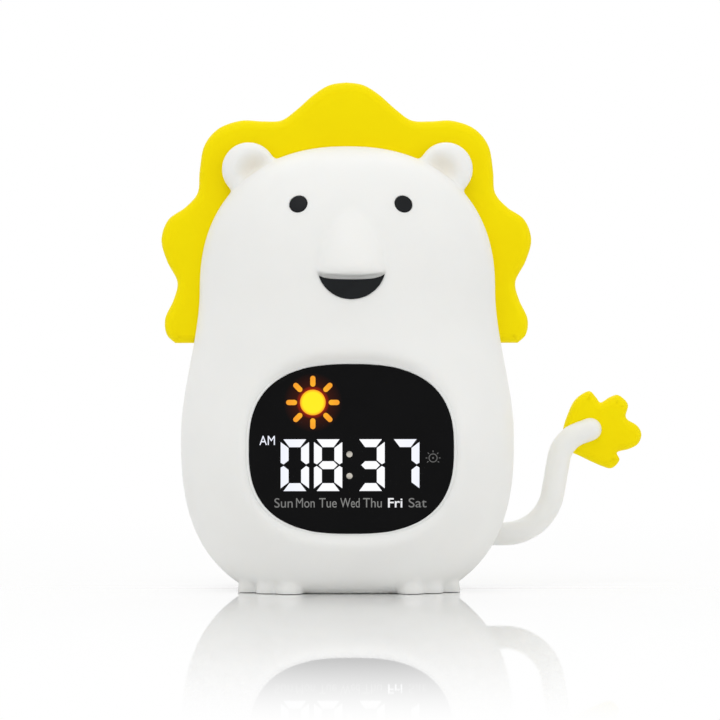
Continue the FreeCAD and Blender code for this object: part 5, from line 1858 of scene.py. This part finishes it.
# Light tone, dark tone, worn edge, roughness, grain size, grain depth and patch size in millimetres.
keep_finish("white_abs", (240, 240, 237), (236, 236, 233), (247, 247, 245), 0.45, 0.35, 0.02)
keep_finish("button_white", (233, 233, 231), (228, 228, 226), (242, 242, 240), 0.35, 0.3, 0.008, 5.0)
keep_finish("knob_grey", (128, 128, 130), (118, 118, 120), (150, 150, 152), 0.4, 0.25, 0.01, 4.0)
keep_finish("chip_black", (44, 44, 45), (36, 36, 37), (66, 66, 68), 0.6, 0.2, 0.012, 5.0)
keep_finish("grey_rubber", (92, 92, 94), (80, 80, 82), (112, 112, 114), 0.75, 0.3, 0.03, 4.0)
keep_finish("foam_tape", (52, 52, 53), (40, 40, 41), None, 0.95, 0.5, 0.15, 5.0)
keep_finish("diffuser_film", (234, 234, 236), (228, 228, 231), None, 0.65, 0.2, 0.008, 15.0)
keep_finish("board_white", (233, 235, 234), (226, 229, 228), (196, 190, 160), 0.35, 0.8, 0.006, 9.0)
keep_finish("cone_black", (50, 49, 48), (38, 37, 37), None, 0.85, 0.35, 0.08, 3.0)
keep_finish("wire_red", (190, 40, 34), (176, 32, 28), None, 0.35, 0.4, 0.01, 8.0)
keep_finish("led_white", (248, 242, 208), (246, 232, 170), (252, 250, 240), 0.25, 0.4, 0.004, 1.5)
print("plastics, rubber and foam:", len(finishes) - 4)

# %% [markdown]
# Screws, shields and the magnet are plated metal, and the cell's pouch is aluminium film under clear
# nylon. The moulded recipe is used again with its metallic share turned up, because plating has a grain
# and a drift of tone too. The foil gets a thin clear coat and large soft dents.

# %% Metals and foil
METALS = {
    "metal_plate": ((204, 204, 206), (190, 190, 193), (226, 226, 228), 0.3, 0.15, 0.006),
    "screw_steel": ((198, 198, 202), (176, 177, 182), (224, 224, 228), 0.33, 0.12, 0.008),
    "magnet_dark": ((122, 123, 126), (104, 105, 108), (160, 160, 163), 0.42, 0.2, 0.01),
}
METAL_PATCH = 4.0
for name, values in METALS.items():
    shader = keep_finish(name, *values, METAL_PATCH)
    shader.inputs["Metallic"].default_value = 1.0

shader = keep_finish("battery_foil", (206, 208, 211), (190, 192, 196), None, 0.36, 2.5, 0.12, 9.0)
shader.inputs["Metallic"].default_value = 0.85
shader.inputs["Coat Weight"].default_value = 0.4
shader.inputs["Coat Roughness"].default_value = 0.15
print("metals:", sorted(METALS))

# %% [markdown]
# A board is green solder mask over copper, and the tracks show as lighter lines. Real tracks could be
# modelled, but the boards lie inside and are seldom seen. A brick texture, whose mortar stands for the
# tracks, is turned to face the board and laid over the green.

# %% Circuit board
TRACK_PITCH = 9.0
TRACK_GREEN = tone(44, 128, 72)
BLACK = (0, 0, 0, 1)
WHITE = (1, 1, 1, 1)


def draw_tracks(material, shader):
    """Lighter lines over the solder mask, as from copper tracks under it."""
    tree = material.node_tree
    turn = tree.nodes.new("ShaderNodeVectorRotate")
    turn.rotation_type = "X_AXIS"
    turn.inputs["Angle"].default_value = math.radians(90)
    tree.links.new(surface_place(tree), turn.inputs["Vector"])
    tracks = tree.nodes.new("ShaderNodeTexBrick")
    tracks.inputs["Scale"].default_value = 1 / (TRACK_PITCH * MM)
    tracks.inputs["Mortar Size"].default_value = 0.03
    tracks.inputs["Color1"].default_value = BLACK
    tracks.inputs["Color2"].default_value = BLACK
    tracks.inputs["Mortar"].default_value = WHITE
    tree.links.new(turn.outputs["Vector"], tracks.inputs["Vector"])
    lay_over(material, shader, tracks.outputs["Color"], TRACK_GREEN)


shader = keep_finish("board_green", (22, 92, 50), (16, 80, 42), (150, 140, 96), 0.32, 0.6, 0.004, 10.0)
draw_tracks(finishes["board_green"], shader)
print("board finish made")

# %% [markdown]
# The ribbon between the boards is a row of wires in grey film. Modelling each wire would add much mesh
# for little. A wave texture draws one fine line for each wire, along the cable, from its real pitch.

# %% Flat cable
RIBBON_PITCH = 1.0
RIBBON_LINE = tone(140, 140, 144)
# A wave texture of scale s repeats every pi / 10 / s.
WAVE_REPEAT = 0.314


def draw_wires(material, shader):
    """Fine darker lines along the cable, one for each wire."""
    tree = material.node_tree
    lines = tree.nodes.new("ShaderNodeTexWave")
    lines.bands_direction = "X"
    lines.inputs["Scale"].default_value = WAVE_REPEAT / (RIBBON_PITCH * MM)
    tree.links.new(surface_place(tree), lines.inputs["Vector"])
    lay_over(material, shader, lines.outputs["Fac"], RIBBON_LINE)


shader = keep_finish("ribbon_grey", (196, 196, 198), (186, 186, 189), None, 0.4, 0.5, 0.01, 8.0)
draw_wires(finishes["ribbon_grey"], shader)
print("ribbon finish made")

# %% [markdown]
# Each solid says in its record what it is made of. The finishes are named after those slots, so a loop
# can dress all the solids, the hidden ones as well. Choosing by hand would miss one sooner or later.
# The printed signs get a dull grey ink of their own.

# %% Finishes onto the solids and the print
SLOT_OF = {entry["node"]: entry["material_slot"] for entry in frame["record"]["subparts"]}
for name, node in NODES.items():
    wear(node, finishes[SLOT_OF[name]])

INK_TONES = (tone(96, 98, 102), tone(88, 90, 94))
print_grey, shader = moulded("print_grey", *INK_TONES, 0.5, 0.2, 0.004, patch=2.0)
for piece in bpy.context.scene.objects:
    if piece.name.startswith("mark_"):
        wear(piece, print_grey)
print("finishes:", len(finishes) + 1)

# %% [markdown]
# The clock stands on a glossy white table that mirrors it softly and fades to plain white. A polished
# plane alone would show its edge and grow grey with distance. Near the clock it is a smooth Principled
# surface. Further out it gives way to an even white that only the camera and mirrors see, so the clock
# gets no extra light from it.

# %% Floor
FLOOR_HALF = 3.0
FLOOR_DROP = 0.02
FADE_START = 0.16
FADE_END = 0.60


def seen_directly(nodes, links):
    """1 for rays from the camera, from gloss and through glass; 0 for lamp light."""
    path = nodes.new("ShaderNodeLightPath")
    total = path.outputs["Is Camera Ray"]
    for name in ("Is Glossy Ray", "Is Transmission Ray"):
        larger = nodes.new("ShaderNodeMath")
        larger.operation = "MAXIMUM"
        links.new(total, larger.inputs[0])
        links.new(path.outputs[name], larger.inputs[1])
        total = larger.outputs["Value"]
    return total


def make_floor_finish():
    """Glossy white near the clock, and an even white further out that only the eye sees."""
    material, shader = new_finish("studio_floor")
    tree = material.node_tree
    nodes = tree.nodes
    links = tree.links
    shader.inputs["Base Color"].default_value = tone(250, 250, 250)
    shader.inputs["Roughness"].default_value = 0.015
    shader.inputs["IOR"].default_value = 1.6
    glow = nodes.new("ShaderNodeEmission")
    glow.inputs["Color"].default_value = WHITE
    away = nodes.new("ShaderNodeVectorMath")
    away.operation = "LENGTH"
    links.new(nodes.new("ShaderNodeNewGeometry").outputs["Position"], away.inputs[0])
    share = nodes.new("ShaderNodeMath")
    share.operation = "MULTIPLY"
    links.new(remap(tree, away.outputs["Value"], FADE_START, FADE_END, soft=True), share.inputs[0])
    links.new(seen_directly(nodes, links), share.inputs[1])
    mix = nodes.new("ShaderNodeMixShader")
    links.new(share.outputs["Value"], mix.inputs["Fac"])
    links.new(shader.outputs["BSDF"], mix.inputs[1])
    links.new(glow.outputs["Emission"], mix.inputs[2])
    out = [node for node in nodes if node.type == "OUTPUT_MATERIAL"][0]
    links.new(mix.outputs["Shader"], out.inputs["Surface"])
    return material


signs = ((-1, -1), (1, -1), (1, 1), (-1, 1))
floor = new_piece("studio_floor", [(FLOOR_HALF * x, FLOOR_HALF * y, 0) for x, y in signs], [(0, 1, 2, 3)])
floor.location.z = -FLOOR_DROP * MM
wear(floor, make_floor_finish())
print("floor mirrors the clock within", FADE_START, "m and is plain white past", FADE_END, "m")

# %% [markdown]
# The photograph has a pure white background. A backdrop object would have to be lit evenly. The world
# is used instead: full white to the camera and to mirrors, and a softer fill for everything else. The
# Standard view keeps each colour about as it is written.

# %% Background
WORLD_FILL = 0.835


def make_world(fill):
    """White to the eye and to mirrors, and a soft fill to everything else."""
    world = bpy.data.worlds.new("studio")
    world.use_nodes = True
    nodes = world.node_tree.nodes
    links = world.node_tree.links
    nodes.clear()
    out = nodes.new("ShaderNodeOutputWorld")
    soft = nodes.new("ShaderNodeBackground")
    soft.inputs["Strength"].default_value = fill
    white = nodes.new("ShaderNodeBackground")
    white.inputs["Strength"].default_value = 1.0
    for background in (soft, white):
        background.inputs["Color"].default_value = WHITE
    mix = nodes.new("ShaderNodeMixShader")
    links.new(seen_directly(nodes, links), mix.inputs["Fac"])
    links.new(soft.outputs["Background"], mix.inputs[1])
    links.new(white.outputs["Background"], mix.inputs[2])
    links.new(mix.outputs["Shader"], out.inputs["Surface"])
    bpy.context.scene.world = world
    return world


make_world(WORLD_FILL)
bpy.context.scene.view_settings.view_transform = "Standard"
print("background fill:", WORLD_FILL)

# %% [markdown]
# Even, high-key light leaves only soft shading under the snout, in the dish and at the foot. A single
# lamp would throw a hard shadow. Three large soft ones are used: a wide one in front and above, a weak
# one at the side, and one over the back that keeps the mane and the crown bright. Each is given as the
# share of full brightness that it adds where it points.

# %% Lamps
TARGET = Vector((0.0, 0.0, 75.0)) * MM


def add_lamp(name, spot, width, level):
    """A square area lamp aimed at the clock; level 1 would light a facing surface fully."""
    data = bpy.data.lights.new(name, "AREA")
    data.shape = "SQUARE"
    data.size = width
    aim = TARGET - Vector(spot)
    data.energy = level * math.pi ** 2 * aim.length ** 2
    lamp = place_in_scene(name, data)
    lamp.location = spot
    lamp.rotation_mode = "QUATERNION"
    lamp.rotation_quaternion = aim.to_track_quat("-Z", "Y")
    return lamp


lamps = [
    add_lamp("front_softbox", (-0.3, -0.8, 1.6), 0.9, 0.15),
    add_lamp("side_softbox", (1.0, -0.7, 0.4), 0.8, 0.05),
    add_lamp("back_softbox", (0.0, 0.9, 1.1), 0.8, 0.1),
]
print("lamps:", [lamp.name for lamp in lamps])
